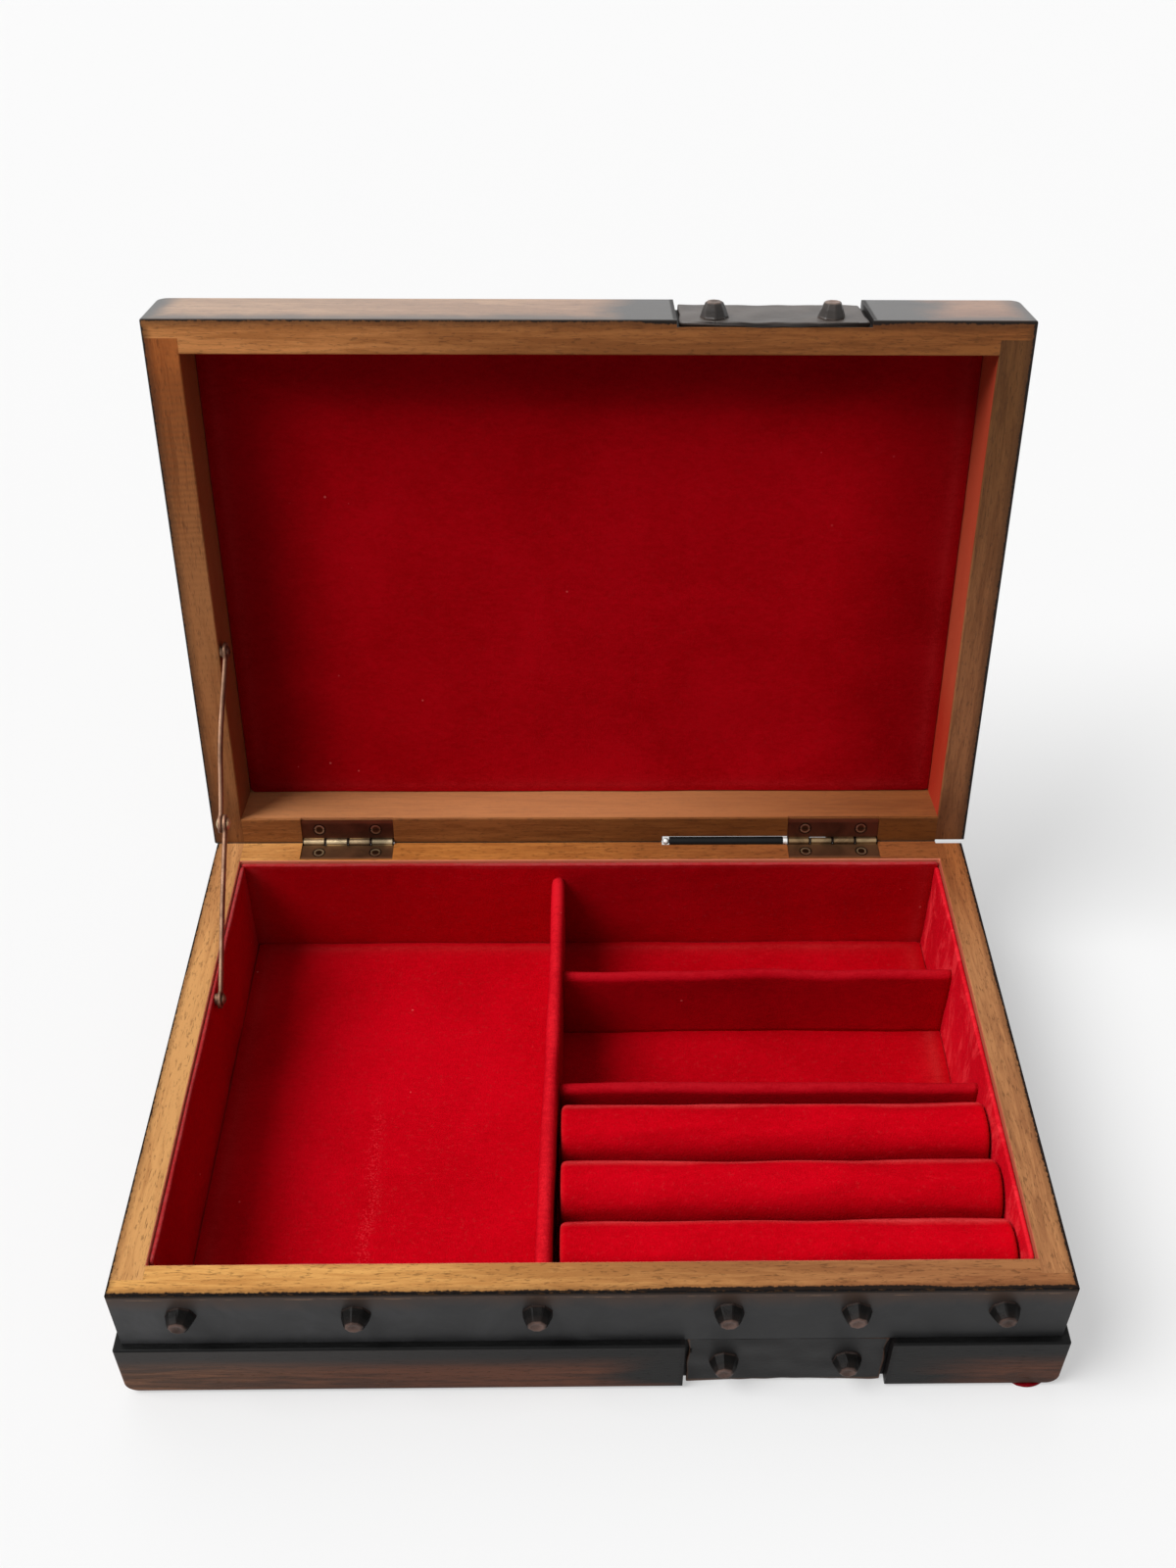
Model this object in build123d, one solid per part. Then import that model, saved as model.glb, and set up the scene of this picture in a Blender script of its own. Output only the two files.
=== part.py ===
"""Wooden valet box with iron-look bands, a velvet interior and a hinged lid on a folding stay.

Sizes are in millimetres. The origin is the middle of the underside, on the table. +X is to the
right, +Y to the hinges at the back and +Z up. The lid is drawn shut and then turned open about
the hinge pins, which is how the box stands at rest.
"""

from build123d import *
import math
import os

os.makedirs("parts", exist_ok=True)

# Wooden case
case_width = 280.0  # across the side bands
case_depth = 192.0  # across the front and back bands
rim_height = 50.0  # table to the rim of the base
lid_height = 27.0
lid_gap = 0.4  # between the two rims when shut
wall_thickness = 10.0  # at the rim
bottom_thickness = 5.0
lid_top_thickness = 6.0
board_step = 2.4  # the base's lower boards stand this far proud of the bands
lid_step = 1.1  # the lid's boards stand this far proud of the bands
lid_back_step = 0.8  # back of the lid, behind the hinge pins
right_rail_short = 0.3  # back end of the lid's right rail, in front of the hinge pins
end_round = 4.0  # outer edges at the left and right ends of the bottom and of the lid's top
long_round = 0.8  # outer edges along the front and back of the bottom and of the lid's top
rim_round = 0.5  # worn edges of the two rims
ledge_round = 0.7  # upper edge of the lower boards
corner_lap = 5.0  # front board left in front of the end of a side board

# Iron-look bands round the base, and the strap that crosses them
band_thickness = 1.2
band_bottom = 24.0  # table to the lower edge of the bands
rim_lip = 1.6  # wood left above the bands
band_play = 0.1  # between a band and its groove
strap_centre = 58.0
strap_width = 60.4
strap_thickness = 1.2
strap_side_gap = 0.8  # open joint on each side of the strap
strap_play = 0.1  # between the strap and the floor of its groove
strap_tail = 0.6  # how far the strap's lower corners hang below the wood
strap_arch = 1.4  # rise of the strap's lower edge between its corners
strap_rim_gap = 0.6  # between the lid strap's ends and the lid's rim
strap_round = 2.5  # bends of the lid strap

# Faceted nail heads
stud_base = 9.2  # across its corners, where it meets the band
stud_top = 4.8  # across its corners, at the tip
stud_height = 5.1
stud_facets = 8
stud_turn = 11.0  # each head is turned this much more than the one before, in degrees
nail_radius = 0.9
nail_tip_cover = 0.9  # wood left below a nail in the lid's top board
nail_play = 0.05
band_stud_rise = 15.5  # studs on the front band, above its lower edge
corner_stud_inset = 20.0  # outermost studs, in from the ends of the band
first_stud_step = 50.7  # corner stud to the second one
second_stud_step = 52.8  # second stud to the third
strap_stud_offset = 18.7  # studs on the strap, each side of its middle
lid_stud_rise = 8.0  # studs on the lid's front, above its rim
lid_stud_rows = 4  # pairs of studs across the lid's top
lid_stud_margin = 26.0  # first and last pair, in from the case's front and back

# Linings, dividers and rolls
felt_thickness = 1.0
felt_inset = 5.0
felt_lobe_radius = 8.0  # loose corner of the felt that peeps out in front
felt_lobe_inset = 7.0  # middle of that corner, in from the case's right end
felt_lobe_reach = 0.8  # how far it peeps out past the boards
lining_thickness = 1.5
lining_drop = 2.2  # below the rim
fit_gap = 0.1
floor_lining_thickness = 2.2
lid_lining_thickness = 1.3
centre_divider_x = -13.6
centre_divider_thickness = 5.0
centre_divider_drop = 7.0  # below the rim
cross_divider_thickness = 4.5
cross_divider_drop = 12.0  # below the rim
rear_cell_depth = 42.0  # behind the rear cross divider
ring_bay_spare = 3.7  # between the rearmost roll and the front cross divider
divider_round = 0.45  # rounding of a divider's top edge, as a share of its thickness
roll_width = 22.0
roll_waist = 0.7  # each side of a roll draws in this much at its foot
roll_pitch = 22.4
roll_top_drop = 7.0  # below the rim
roll_end_round = 2.0
roll_side_gap = 0.6
roll_names = ("ring_roll_front", "ring_roll_middle", "ring_roll_rear")

# Butt hinges
open_angle = 100.0
hinge_length = 34.0
hinge_inset = 32.0  # outer end of a hinge, in from the case's end
pin_behind = 0.0  # pin's middle, behind the back band's face
leaf_width = 9.0
leaf_thickness = 0.8
knuckle_radius = 1.3
knuckle_gap = 0.2
knuckle_count = 4
pin_radius = 0.6
pin_play = 0.05
mortise_play = 0.15
knuckle_room = 0.25
screw_head_radius = 1.9
screw_radius = 1.0
screw_length = 8.0
screw_head_height = 1.0
screw_slot_width = 0.5
screw_slot_depth = 0.35
screw_play = 0.03
screw_spacing = 21.0
screw_from_pin = 5.2

# Sleeved rod on the right hinge pin
rod_length = 47.0
sleeve_radius = 1.7
rod_room = 0.3  # round the rod, in the lid, which turns about it
collar_radius = 1.5
collar_length = 1.6
rod_ball_radius = 1.25

# Folding stay
stay_base_from_pin = 75.5  # base pivot, in front of the hinge pin
stay_base_drop = 3.5  # base pivot, below the rim
stay_lid_from_pin = 77.5  # lid pivot, in front of the hinge pin when shut
stay_lid_rise = 2.6  # lid pivot, above the lid's rim when shut
stay_share = 0.4975  # lower arm's share of the stretched stay
arm_width = 4.6
arm_thickness = 1.5
eye_radius = 2.9
arm_gap = 0.2
pivot_radius = 1.0
pivot_play = 0.05
pivot_screw_length = 6.0
pivot_head_radius = 2.1
rivet_radius = 1.1
rivet_head_radius = 2.1
head_height = 1.0
rivet_tail_height = 0.7
wall_play = 0.2  # between the stay's rivet and the wall beside it
spacer_radius = 2.0
spacer_play = 0.2

# Places worked out from the sizes above
half_width = case_width / 2
half_depth = case_depth / 2
inner_half_width = half_width - wall_thickness
inner_half_depth = half_depth - wall_thickness
board_half_width = half_width + board_step
board_half_depth = half_depth + board_step
board_bottom = felt_thickness
board_top = board_bottom + bottom_thickness
lid_rim = rim_height + lid_gap
lid_top = lid_rim + lid_height
lid_rail_top = lid_top - lid_top_thickness
lid_half_width = half_width + lid_step
lid_front = -half_depth - lid_step
pin_y = half_depth + pin_behind
pin_z = rim_height + lid_gap / 2
lid_back = pin_y + lid_back_step
hinge_centre = half_width - hinge_inset - hinge_length / 2
strap_left = strap_centre - strap_width / 2
strap_right = strap_centre + strap_width / 2
groove_depth = band_thickness + band_play
beyond = 5.0  # how far a cutter runs past the wood


def block(x0, x1, y0, y1, z0, z1):
    """A box between two corners."""
    middle = Pos((x0 + x1) / 2, (y0 + y1) / 2, (z0 + z1) / 2)
    return middle * Box(x1 - x0, y1 - y0, z1 - z0)


def slab(half_x, half_y, z0, z1):
    """A box centred on the Z axis."""
    return block(-half_x, half_x, -half_y, half_y, z0, z1)


def rod_along_x(x0, x1, y, z, radius):
    """A cylinder along X."""
    return Pos((x0 + x1) / 2, y, z) * Rot(0, 90, 0) * Cylinder(radius, x1 - x0)


def edges_at(shape, z):
    """The edges of a shape's flat faces at height z."""
    faces = [face for face in shape.faces().filter_by(Axis.Z) if abs(face.center().Z - z) < 0.01]
    return [edge for face in faces for edge in face.edges()]


def rounded_at(shape, z):
    """A board with its outer edges at height z rounded, the ones at its ends more than the rest."""
    ends = [edge for edge in edges_at(shape, z) if abs(edge.tangent_at(0).Y) > 0.99]
    shape = fillet(ends, end_round)
    longs = [edge for edge in edges_at(shape, z) if abs(edge.tangent_at(0).X) > 0.99]
    return fillet(longs, long_round)


def opened(shape):
    """A piece of the shut lid, turned open about the hinge pins."""
    return shape.rotate(Axis((0, pin_y, pin_z), (1, 0, 0)), -open_angle)


def opened_point(y, z):
    """Where a point of the shut lid lies when the lid is open."""
    turn = math.radians(-open_angle)
    dy, dz = y - pin_y, z - pin_z
    return (
        pin_y + dy * math.cos(turn) - dz * math.sin(turn),
        pin_z + dy * math.sin(turn) + dz * math.cos(turn),
    )


def save(name, shape):
    """Writes one named piece."""
    solids = shape.solids()
    piece = solids[0] if len(solids) == 1 else Compound(children=list(solids))
    export_step(piece, f"parts/{name}.step")


# Nail heads and screws

nail_length = lid_top_thickness - lid_step - nail_tip_cover


def stud(turn):
    """A faceted nail head on the XY plane, with its nail below."""
    foot = Rot(0, 0, turn) * RegularPolygon(stud_base / 2, stud_facets)
    tip = Pos(0, 0, stud_height) * Rot(0, 0, turn) * RegularPolygon(stud_top / 2, stud_facets)
    nail = Pos(0, 0, -nail_length / 2) * Cylinder(nail_radius, nail_length)
    return loft([foot.face(), tip.face()]) + nail


def nail_hole():
    """The hole for a stud's nail, with its mouth on the XY plane."""
    depth = nail_length + nail_play
    return Pos(0, 0, (beyond - depth) / 2) * Cylinder(nail_radius + nail_play, depth + beyond)


def screw_outline(play):
    """A countersunk wood screw below the XY plane, grown all round by play."""
    head = screw_head_radius + play
    neck = screw_radius + play
    foot = screw_length + play
    profile = Polyline(
        (0, 0), (head, 0), (neck, -screw_head_height), (neck, -foot), (0, -foot), close=True
    )
    return revolve(Plane.XZ * make_face(profile), Axis.Z)


def screw():
    """A slotted countersunk screw, its head flush with the XY plane."""
    slot = Pos(0, 0, -screw_slot_depth / 2) * Box(
        2 * screw_head_radius, screw_slot_width, screw_slot_depth
    )
    return screw_outline(0) - slot


front_plane = Plane(origin=(0, -half_depth, 0), x_dir=(1, 0, 0), z_dir=(0, -1, 0))
left_stud = -half_width + corner_stud_inset
strap_stud_places = [strap_centre - strap_stud_offset, strap_centre + strap_stud_offset]
band_stud_places = [
    left_stud,
    left_stud + first_stud_step,
    left_stud + first_stud_step + second_stud_step,
    *strap_stud_places,
    half_width - corner_stud_inset,
]
band_stud_z = band_bottom + band_stud_rise
strap_middle = (board_bottom + band_bottom) / 2
top_row_span = case_depth - 2 * lid_stud_margin
top_rows = [
    -half_depth + lid_stud_margin + top_row_span * row / (lid_stud_rows - 1)
    for row in range(lid_stud_rows)
]

band_stud_spots = [front_plane * Pos(x, band_stud_z, 0) for x in band_stud_places]
base_strap_spots = [front_plane * Pos(x, strap_middle, 0) for x in strap_stud_places]
lid_front_spots = [front_plane * Pos(x, lid_rim + lid_stud_rise, 0) for x in strap_stud_places]
lid_top_spots = [Pos(x, y, lid_top - lid_step) for y in top_rows for x in strap_stud_places]
lid_stud_spots = lid_front_spots + lid_top_spots


def studs(spots):
    """A nail head at each spot, each turned a little more than the one before."""
    return Compound(children=[spot * stud(stud_turn * n) for n, spot in enumerate(spots)])


def drilled(shape, spots):
    """A piece with a nail hole at each spot."""
    for spot in spots:
        shape = shape - spot * nail_hole()
    return shape


# Hinges


def hinge_screw_spots(centre, lid_side):
    """Where a leaf's two screws go: the middle of each head, with Z pointing out of the leaf."""
    y = pin_y - screw_from_pin
    offset = knuckle_radius - leaf_thickness
    spots = []
    for x in (centre - screw_spacing / 2, centre + screw_spacing / 2):
        if lid_side:
            spots.append(Pos(x, y, pin_z + offset) * Rot(180, 0, 0))
        else:
            spots.append(Pos(x, y, pin_z - offset))
    return spots


def knuckle_spans(centre, lid_side):
    """The X range of each knuckle of one leaf; the lid's leaf has the first one."""
    pitch = hinge_length / knuckle_count
    start = centre - hinge_length / 2
    first = 0 if lid_side else 1
    return [
        (start + n * pitch + knuckle_gap / 2, start + (n + 1) * pitch - knuckle_gap / 2)
        for n in range(first, knuckle_count, 2)
    ]


def hinge_leaf(centre, lid_side):
    """One leaf: a plate with its own knuckles, cut back for the other leaf's."""
    x0, x1 = centre - hinge_length / 2, centre + hinge_length / 2
    if lid_side:
        z0, z1 = pin_z + knuckle_radius - leaf_thickness, pin_z + knuckle_radius
    else:
        z0, z1 = pin_z - knuckle_radius, pin_z - knuckle_radius + leaf_thickness
    leaf = block(x0, x1, pin_y - leaf_width, pin_y, z0, z1)
    for a, b in knuckle_spans(centre, not lid_side):
        gap = knuckle_gap
        leaf -= rod_along_x(a - gap, b + gap, pin_y, pin_z, knuckle_radius + knuckle_room)
    for a, b in knuckle_spans(centre, lid_side):
        leaf += rod_along_x(a, b, pin_y, pin_z, knuckle_radius)
    leaf -= rod_along_x(x0 - beyond, x1 + beyond, pin_y, pin_z, pin_radius + pin_play)
    for spot in hinge_screw_spots(centre, lid_side):
        leaf -= spot * screw_outline(screw_play)
    return leaf


def hinge_cut(centre, lid_side):
    """What a hinge takes out of the wood: the leaf's mortise, the knuckles' room and screw holes."""
    x0 = centre - hinge_length / 2 - mortise_play
    x1 = centre + hinge_length / 2 + mortise_play
    back = board_half_depth + beyond
    if lid_side:
        # The lid's mortise runs right through to the inside of the rail.
        front = inner_half_depth - beyond
        mortise = block(x0, x1, front, back, lid_rim - beyond, pin_z + knuckle_radius)
    else:
        front = pin_y - leaf_width - mortise_play
        mortise = block(x0, x1, front, back, pin_z - knuckle_radius, rim_height + beyond)
    cut = mortise + rod_along_x(x0, x1, pin_y, pin_z, knuckle_radius + knuckle_room)
    for spot in hinge_screw_spots(centre, lid_side):
        cut += spot * screw_outline(screw_play)
    return cut


hinge_centres = {"left": -hinge_centre, "right": hinge_centre}
rod_right = hinge_centre - hinge_length / 2
rod_left = rod_right - rod_length
rod_seat = rod_along_x(rod_left - rod_room, rod_right, pin_y, pin_z, sleeve_radius + fit_gap)
rod_cut = rod_along_x(rod_left - rod_room, rod_right, pin_y, pin_z, sleeve_radius + rod_room)


# Places of the folding stay, with the lid open

stay_base_y = pin_y - stay_base_from_pin
stay_base_z = rim_height - stay_base_drop
stay_lid_y, stay_lid_z = opened_point(pin_y - stay_lid_from_pin, lid_rim + stay_lid_rise)
stay_reach = math.hypot(stay_lid_y - stay_base_y, stay_lid_z - stay_base_z)
lower_arm_length = stay_share * stay_reach
upper_arm_length = stay_reach - lower_arm_length
stay_along = ((stay_lid_y - stay_base_y) / stay_reach, (stay_lid_z - stay_base_z) / stay_reach)
stay_back = (-stay_along[0], -stay_along[1])
elbow_y = stay_base_y + lower_arm_length * stay_along[0]
elbow_z = stay_base_z + lower_arm_length * stay_along[1]
wall_face = -inner_half_width
upper_arm_x = wall_face + wall_play + rivet_tail_height
lower_arm_x = upper_arm_x + arm_thickness + arm_gap


def pivot_hole(y, z):
    """The screw hole for one of the stay's pivots, in the wall beside it."""
    x0 = wall_face - pivot_screw_length - pivot_play
    return rod_along_x(x0, wall_face + beyond, y, z, pivot_radius + pivot_play)


def arm(x, start, length, direction):
    """A flat strip in a plane across X, from a pivot eye at start to the elbow."""
    outline = Pos(length / 2, 0, 0) * Rectangle(length, arm_width)
    outline += Circle(eye_radius)
    outline += Pos(length, 0, 0) * Circle(eye_radius)
    outline -= Circle(pivot_radius + pivot_play)
    outline -= Pos(length, 0, 0) * Circle(rivet_radius)
    plane = Plane(origin=(x, *start), x_dir=(0, *direction), z_dir=(1, 0, 0))
    return extrude(plane * outline, arm_thickness)


def domed_head(radius, height):
    """A domed head that stands on the XY plane."""
    sphere_radius = (radius**2 + height**2) / (2 * height)
    dome = Pos(0, 0, height - sphere_radius) * Sphere(sphere_radius)
    return dome & Pos(0, 0, height / 2) * Box(4 * radius, 4 * radius, height)


def pivot_screw(arm_x, y, z):
    """A round-headed screw through an arm's eye and into the wall, with a screwdriver slot."""
    face = arm_x + arm_thickness + pivot_play
    head = Pos(face, y, z) * Rot(0, 90, 0) * domed_head(pivot_head_radius, head_height)
    slot = Pos(face + head_height, y, z) * Box(
        2 * screw_slot_depth, 2 * pivot_head_radius, screw_slot_width
    )
    return head - slot + rod_along_x(wall_face - pivot_screw_length, face, y, z, pivot_radius)


def spacer(arm_x, y, z):
    """The collar that keeps an arm off the wall."""
    x1 = arm_x - pivot_play
    tube = rod_along_x(wall_face, x1, y, z, spacer_radius)
    return tube - rod_along_x(wall_face - beyond, x1 + beyond, y, z, pivot_radius + pivot_play)


# Wooden boards


def side_region(sign, y_front, y_back, z0, z1):
    """The space of a side board, which runs into the front board at y_front."""
    x0, x1 = sorted((sign * inner_half_width, sign * (board_half_width + beyond)))
    return block(x0, x1, y_front, y_back, z0, z1)


def front_region(y_front, z0, z1):
    """The space of a front board, which covers the ends of the side boards."""
    reach = board_half_width + beyond
    region = block(-reach, reach, -board_half_depth - beyond, -inner_half_depth, z0, z1)
    return region - side_region(-1, y_front, 0, z0, z1) - side_region(1, y_front, 0, z0, z1)


def back_region(z0, z1):
    """The space of a back board, which stands between the side boards."""
    back = board_half_depth + beyond
    return block(-inner_half_width, inner_half_width, inner_half_depth, back, z0, z1)


def base_shell():
    """The whole base, before it is parted into boards."""
    low = slab(board_half_width, board_half_depth, board_bottom, band_bottom)
    low = rounded_at(low, board_bottom)
    low = fillet(edges_at(low, band_bottom), ledge_round)
    high = slab(half_width, half_depth, board_top, rim_height)
    high -= slab(inner_half_width, inner_half_depth, board_top, rim_height)
    high = fillet(edges_at(high, rim_height), rim_round)
    shell = low + high - slab(inner_half_width, inner_half_depth, board_top, rim_height)

    # The groove of the bands. It runs out over the back end of the right board, up to the rim.
    groove_top = rim_height - rim_lip
    reach = board_half_width + beyond
    groove = slab(reach, board_half_depth + beyond, band_bottom, groove_top)
    groove_core = slab(half_width - groove_depth, half_depth - groove_depth, band_bottom, groove_top)
    shell -= groove - groove_core
    y0, y1 = half_depth - groove_depth, half_depth + beyond
    shell -= block(inner_half_width, reach, y0, y1, band_bottom, rim_height)

    shell -= block(
        strap_left - strap_side_gap,
        strap_right + strap_side_gap,
        -board_half_depth - beyond,
        -half_depth + strap_thickness + strap_play,
        board_bottom - beyond,
        band_bottom,
    )
    for centre in hinge_centres.values():
        shell -= hinge_cut(centre, lid_side=False)
    shell -= rod_seat
    shell -= pivot_hole(stay_base_y, stay_base_z)
    return drilled(shell, band_stud_spots + base_strap_spots)


shell = base_shell()
lap_y = -half_depth + corner_lap
back_end = board_half_depth + beyond
save("front_wall", shell & front_region(lap_y, board_top, rim_height))
save("back_wall", shell & back_region(board_top, rim_height))
save("left_wall", shell & side_region(-1, lap_y, back_end, board_top, rim_height))
save("right_wall", shell & side_region(1, lap_y, back_end, board_top, rim_height))
save("bottom_board", shell & slab(board_half_width, board_half_depth, board_bottom, board_top))


# Bands, strap and studs

band_z0 = band_bottom + band_play
band_z1 = rim_height - rim_lip - band_play
front_band = block(-half_width, half_width, -half_depth, -half_depth + band_thickness, band_z0, band_z1)
save("front_band", drilled(front_band, band_stud_spots))
save("back_band", Rot(0, 0, 180) * front_band)
side_band_reach = half_depth - groove_depth
for name, sign in (("left_band", -1), ("right_band", 1)):
    x0, x1 = sorted((sign * (half_width - band_thickness), sign * half_width))
    save(name, block(x0, x1, -side_band_reach, side_band_reach, band_z0, band_z1))

strap_low = board_bottom - strap_tail
strap_high = band_bottom - strap_play
strap_outline = Polyline(
    (strap_left, strap_low), (strap_left, strap_high), (strap_right, strap_high), (strap_right, strap_low)
) + ThreePointArc(
    (strap_right, strap_low), (strap_centre, strap_low + strap_arch), (strap_left, strap_low)
)
base_strap = extrude(front_plane * make_face(strap_outline), -strap_thickness)
save("base_strap", drilled(base_strap, base_strap_spots))
save("band_studs", studs(band_stud_spots))
save("base_strap_studs", studs(base_strap_spots))


# Felt under the box, with one corner come loose

felt = slab(half_width - felt_inset, half_depth - felt_inset, 0, felt_thickness)
lobe_x = half_width - felt_lobe_inset
lobe_y = -board_half_depth - felt_lobe_reach + felt_lobe_radius
felt += Pos(lobe_x, lobe_y, felt_thickness / 2) * Cylinder(felt_lobe_radius, felt_thickness)
save("underside_felt", felt)


# Velvet linings. They stand on the bottom board, and the floor lining lies between them.

lining_top = rim_height - lining_drop
lined_half_width = inner_half_width - fit_gap - lining_thickness
lined_half_depth = inner_half_depth - fit_gap - lining_thickness
lining_x = inner_half_width - fit_gap
lining_y = inner_half_depth - fit_gap
side_reach = lined_half_depth - fit_gap
floor_top = board_top + floor_lining_thickness
save("front_lining", block(-lining_x, lining_x, -lining_y, -lined_half_depth, board_top, lining_top))
save("back_lining", block(-lining_x, lining_x, lined_half_depth, lining_y, board_top, lining_top))
left_lining = block(-lining_x, -lined_half_width, -side_reach, side_reach, board_top, lining_top)
spacer_room = spacer_radius + spacer_play
left_lining -= rod_along_x(wall_face - beyond, 0, stay_base_y, stay_base_z, spacer_room)
save("left_lining", left_lining)
right_lining = block(lined_half_width, lining_x, -side_reach, side_reach, board_top, lining_top)
save("right_lining", right_lining)
cell_x = lined_half_width - fit_gap
cell_y = lined_half_depth - fit_gap
save("floor_lining", slab(cell_x, cell_y, board_top, floor_top))


# Dividers and ring rolls, which stand on the floor lining


def divider(x0, x1, y0, y1, top, long_axis):
    """A velvet-covered board with a rounded top edge."""
    board = block(x0, x1, y0, y1, floor_top, top)
    edges = board.faces().sort_by(Axis.Z)[-1].edges().filter_by(long_axis)
    return fillet(edges, divider_round * min(x1 - x0, y1 - y0))


centre_left = centre_divider_x - centre_divider_thickness / 2
centre_right = centre_divider_x + centre_divider_thickness / 2
centre_top = rim_height - centre_divider_drop
cross_top = rim_height - cross_divider_drop
cell_left = centre_right + fit_gap
save("centre_divider", divider(centre_left, centre_right, -cell_y, cell_y, centre_top, Axis.Y))
rear_y1 = lined_half_depth - rear_cell_depth
rear_y0 = rear_y1 - cross_divider_thickness
first_roll = -lined_half_depth + fit_gap + roll_side_gap + roll_width / 2
last_roll = first_roll + (len(roll_names) - 1) * roll_pitch
front_y0 = last_roll + roll_width / 2 + ring_bay_spare
front_y1 = front_y0 + cross_divider_thickness
save("rear_cross_divider", divider(cell_left, cell_x, rear_y0, rear_y1, cross_top, Axis.X))
save("front_cross_divider", divider(cell_left, cell_x, front_y0, front_y1, cross_top, Axis.X))


def ring_roll(middle):
    """A padded roll: half-round on top, its sides drawn in to the foot and its ends rounded."""
    radius = roll_width / 2
    crown = rim_height - roll_top_drop - radius
    foot = radius - roll_waist
    sides = Polyline((-radius, crown), (-foot, floor_top), (foot, floor_top), (radius, crown))
    top = ThreePointArc((radius, crown), (0, crown + radius), (-radius, crown))
    x0, x1 = cell_left + roll_side_gap, cell_x - roll_side_gap
    section = Plane(origin=(x0, middle, 0), x_dir=(0, 1, 0), z_dir=(1, 0, 0))
    roll = extrude(section * make_face(sides + top), x1 - x0)
    ends = roll.faces().filter_by(Axis.X)
    rims = [edge for face in ends for edge in face.edges() if edge.center().Z > floor_top + 0.01]
    return fillet(rims, roll_end_round)


for n, name in enumerate(roll_names):
    save(name, ring_roll(first_roll + n * roll_pitch))


# Hinges, their screws and pins

for side, centre in hinge_centres.items():
    save(f"{side}_hinge_base_leaf", hinge_leaf(centre, lid_side=False))
    save(f"{side}_hinge_lid_leaf", opened(hinge_leaf(centre, lid_side=True)))
screw_spots = {
    lid_side: [spot for c in hinge_centres.values() for spot in hinge_screw_spots(c, lid_side)]
    for lid_side in (False, True)
}
save("base_hinge_screws", Compound(children=[spot * screw() for spot in screw_spots[False]]))
save("lid_hinge_screws", opened(Compound(children=[spot * screw() for spot in screw_spots[True]])))
left_end = hinge_centres["left"] - hinge_length / 2
right_end = hinge_centres["right"] + hinge_length / 2
save("left_hinge_pin", rod_along_x(left_end, left_end + hinge_length, pin_y, pin_z, pin_radius))

# The right pin runs on as a rod: a ball on its free end, a sleeve, and a collar at the hinge.
ball_x = rod_left + rod_ball_radius


def end_ball():
    """The ball on the rod's free end, bored to its middle for the pin."""
    bore = pin_radius + pin_play
    mouth = math.sqrt(rod_ball_radius**2 - bore**2)
    halfway = (math.atan2(bore, mouth) + math.pi) / 2
    crest = (rod_ball_radius * math.cos(halfway), rod_ball_radius * math.sin(halfway))
    tip = (-rod_ball_radius, 0)
    outline = Polyline(tip, (0, 0), (0, bore), (mouth, bore)) + ThreePointArc((mouth, bore), crest, tip)
    section = Plane(origin=(ball_x, pin_y, pin_z), x_dir=(1, 0, 0), z_dir=(0, -1, 0))
    return revolve(section * make_face(outline), Axis((ball_x, pin_y, pin_z), (1, 0, 0)))


save("right_hinge_pin", rod_along_x(ball_x, right_end, pin_y, pin_z, pin_radius))
pin_bore = rod_along_x(ball_x, rod_right + beyond, pin_y, pin_z, pin_radius + pin_play)
collar_x1 = rod_right - fit_gap
collar_x0 = collar_x1 - collar_length
sleeve_x0 = ball_x + rod_ball_radius
save("rod_sleeve", rod_along_x(sleeve_x0, collar_x0 - fit_gap, pin_y, pin_z, sleeve_radius) - pin_bore)
save("rod_collar", rod_along_x(collar_x0, collar_x1, pin_y, pin_z, collar_radius) - pin_bore)
save("rod_end_ball", end_ball())


# The lid, built shut; each piece is turned open as it is saved

lid_block = block(-lid_half_width, lid_half_width, lid_front, lid_back, lid_rim, lid_top)
lid_block = rounded_at(lid_block, lid_top)
lid_block -= slab(inner_half_width, inner_half_depth, lid_rim, lid_rail_top)
lid_block = fillet(edges_at(lid_block, lid_rim), rim_round)


def lid_core(depth):
    """The space inside the lid's front, top and back faces, set in by depth from each."""
    reach = lid_half_width + beyond
    core = block(-reach, reach, lid_front + depth, lid_back - depth, lid_rim - beyond, lid_top - depth)
    return fillet(core.faces().sort_by(Axis.Z)[-1].edges().filter_by(Axis.X), strap_round)


strap_bed = block(
    strap_left - strap_side_gap,
    strap_right + strap_side_gap,
    lid_front - beyond,
    lid_back + beyond,
    lid_rim - beyond,
    lid_top + beyond,
) - lid_core(lid_step + strap_thickness + strap_play)
lid_shell = lid_block - strap_bed - rod_cut
for centre in hinge_centres.values():
    lid_shell -= hinge_cut(centre, lid_side=True)
lid_shell = drilled(lid_shell, lid_stud_spots)

lid_left_rail = opened(lid_shell & side_region(-1, lap_y, lid_back, lid_rim, lid_rail_top))
save("lid_left_rail", lid_left_rail - pivot_hole(stay_lid_y, stay_lid_z))
rail_back = pin_y - right_rail_short
save("lid_right_rail", opened(lid_shell & side_region(1, lap_y, rail_back, lid_rim, lid_rail_top)))
save("lid_front_rail", opened(lid_shell & front_region(lap_y, lid_rim, lid_rail_top)))
save("lid_back_rail", opened(lid_shell & back_region(lid_rim, lid_rail_top)))
whole_top = slab(board_half_width + beyond, board_half_depth + beyond, lid_rail_top, lid_top)
save("lid_top_board", opened(lid_shell & whole_top))
lid_lining = slab(lining_x, lining_y, lid_rail_top - lid_lining_thickness, lid_rail_top)
save("lid_lining", opened(lid_lining))

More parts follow.
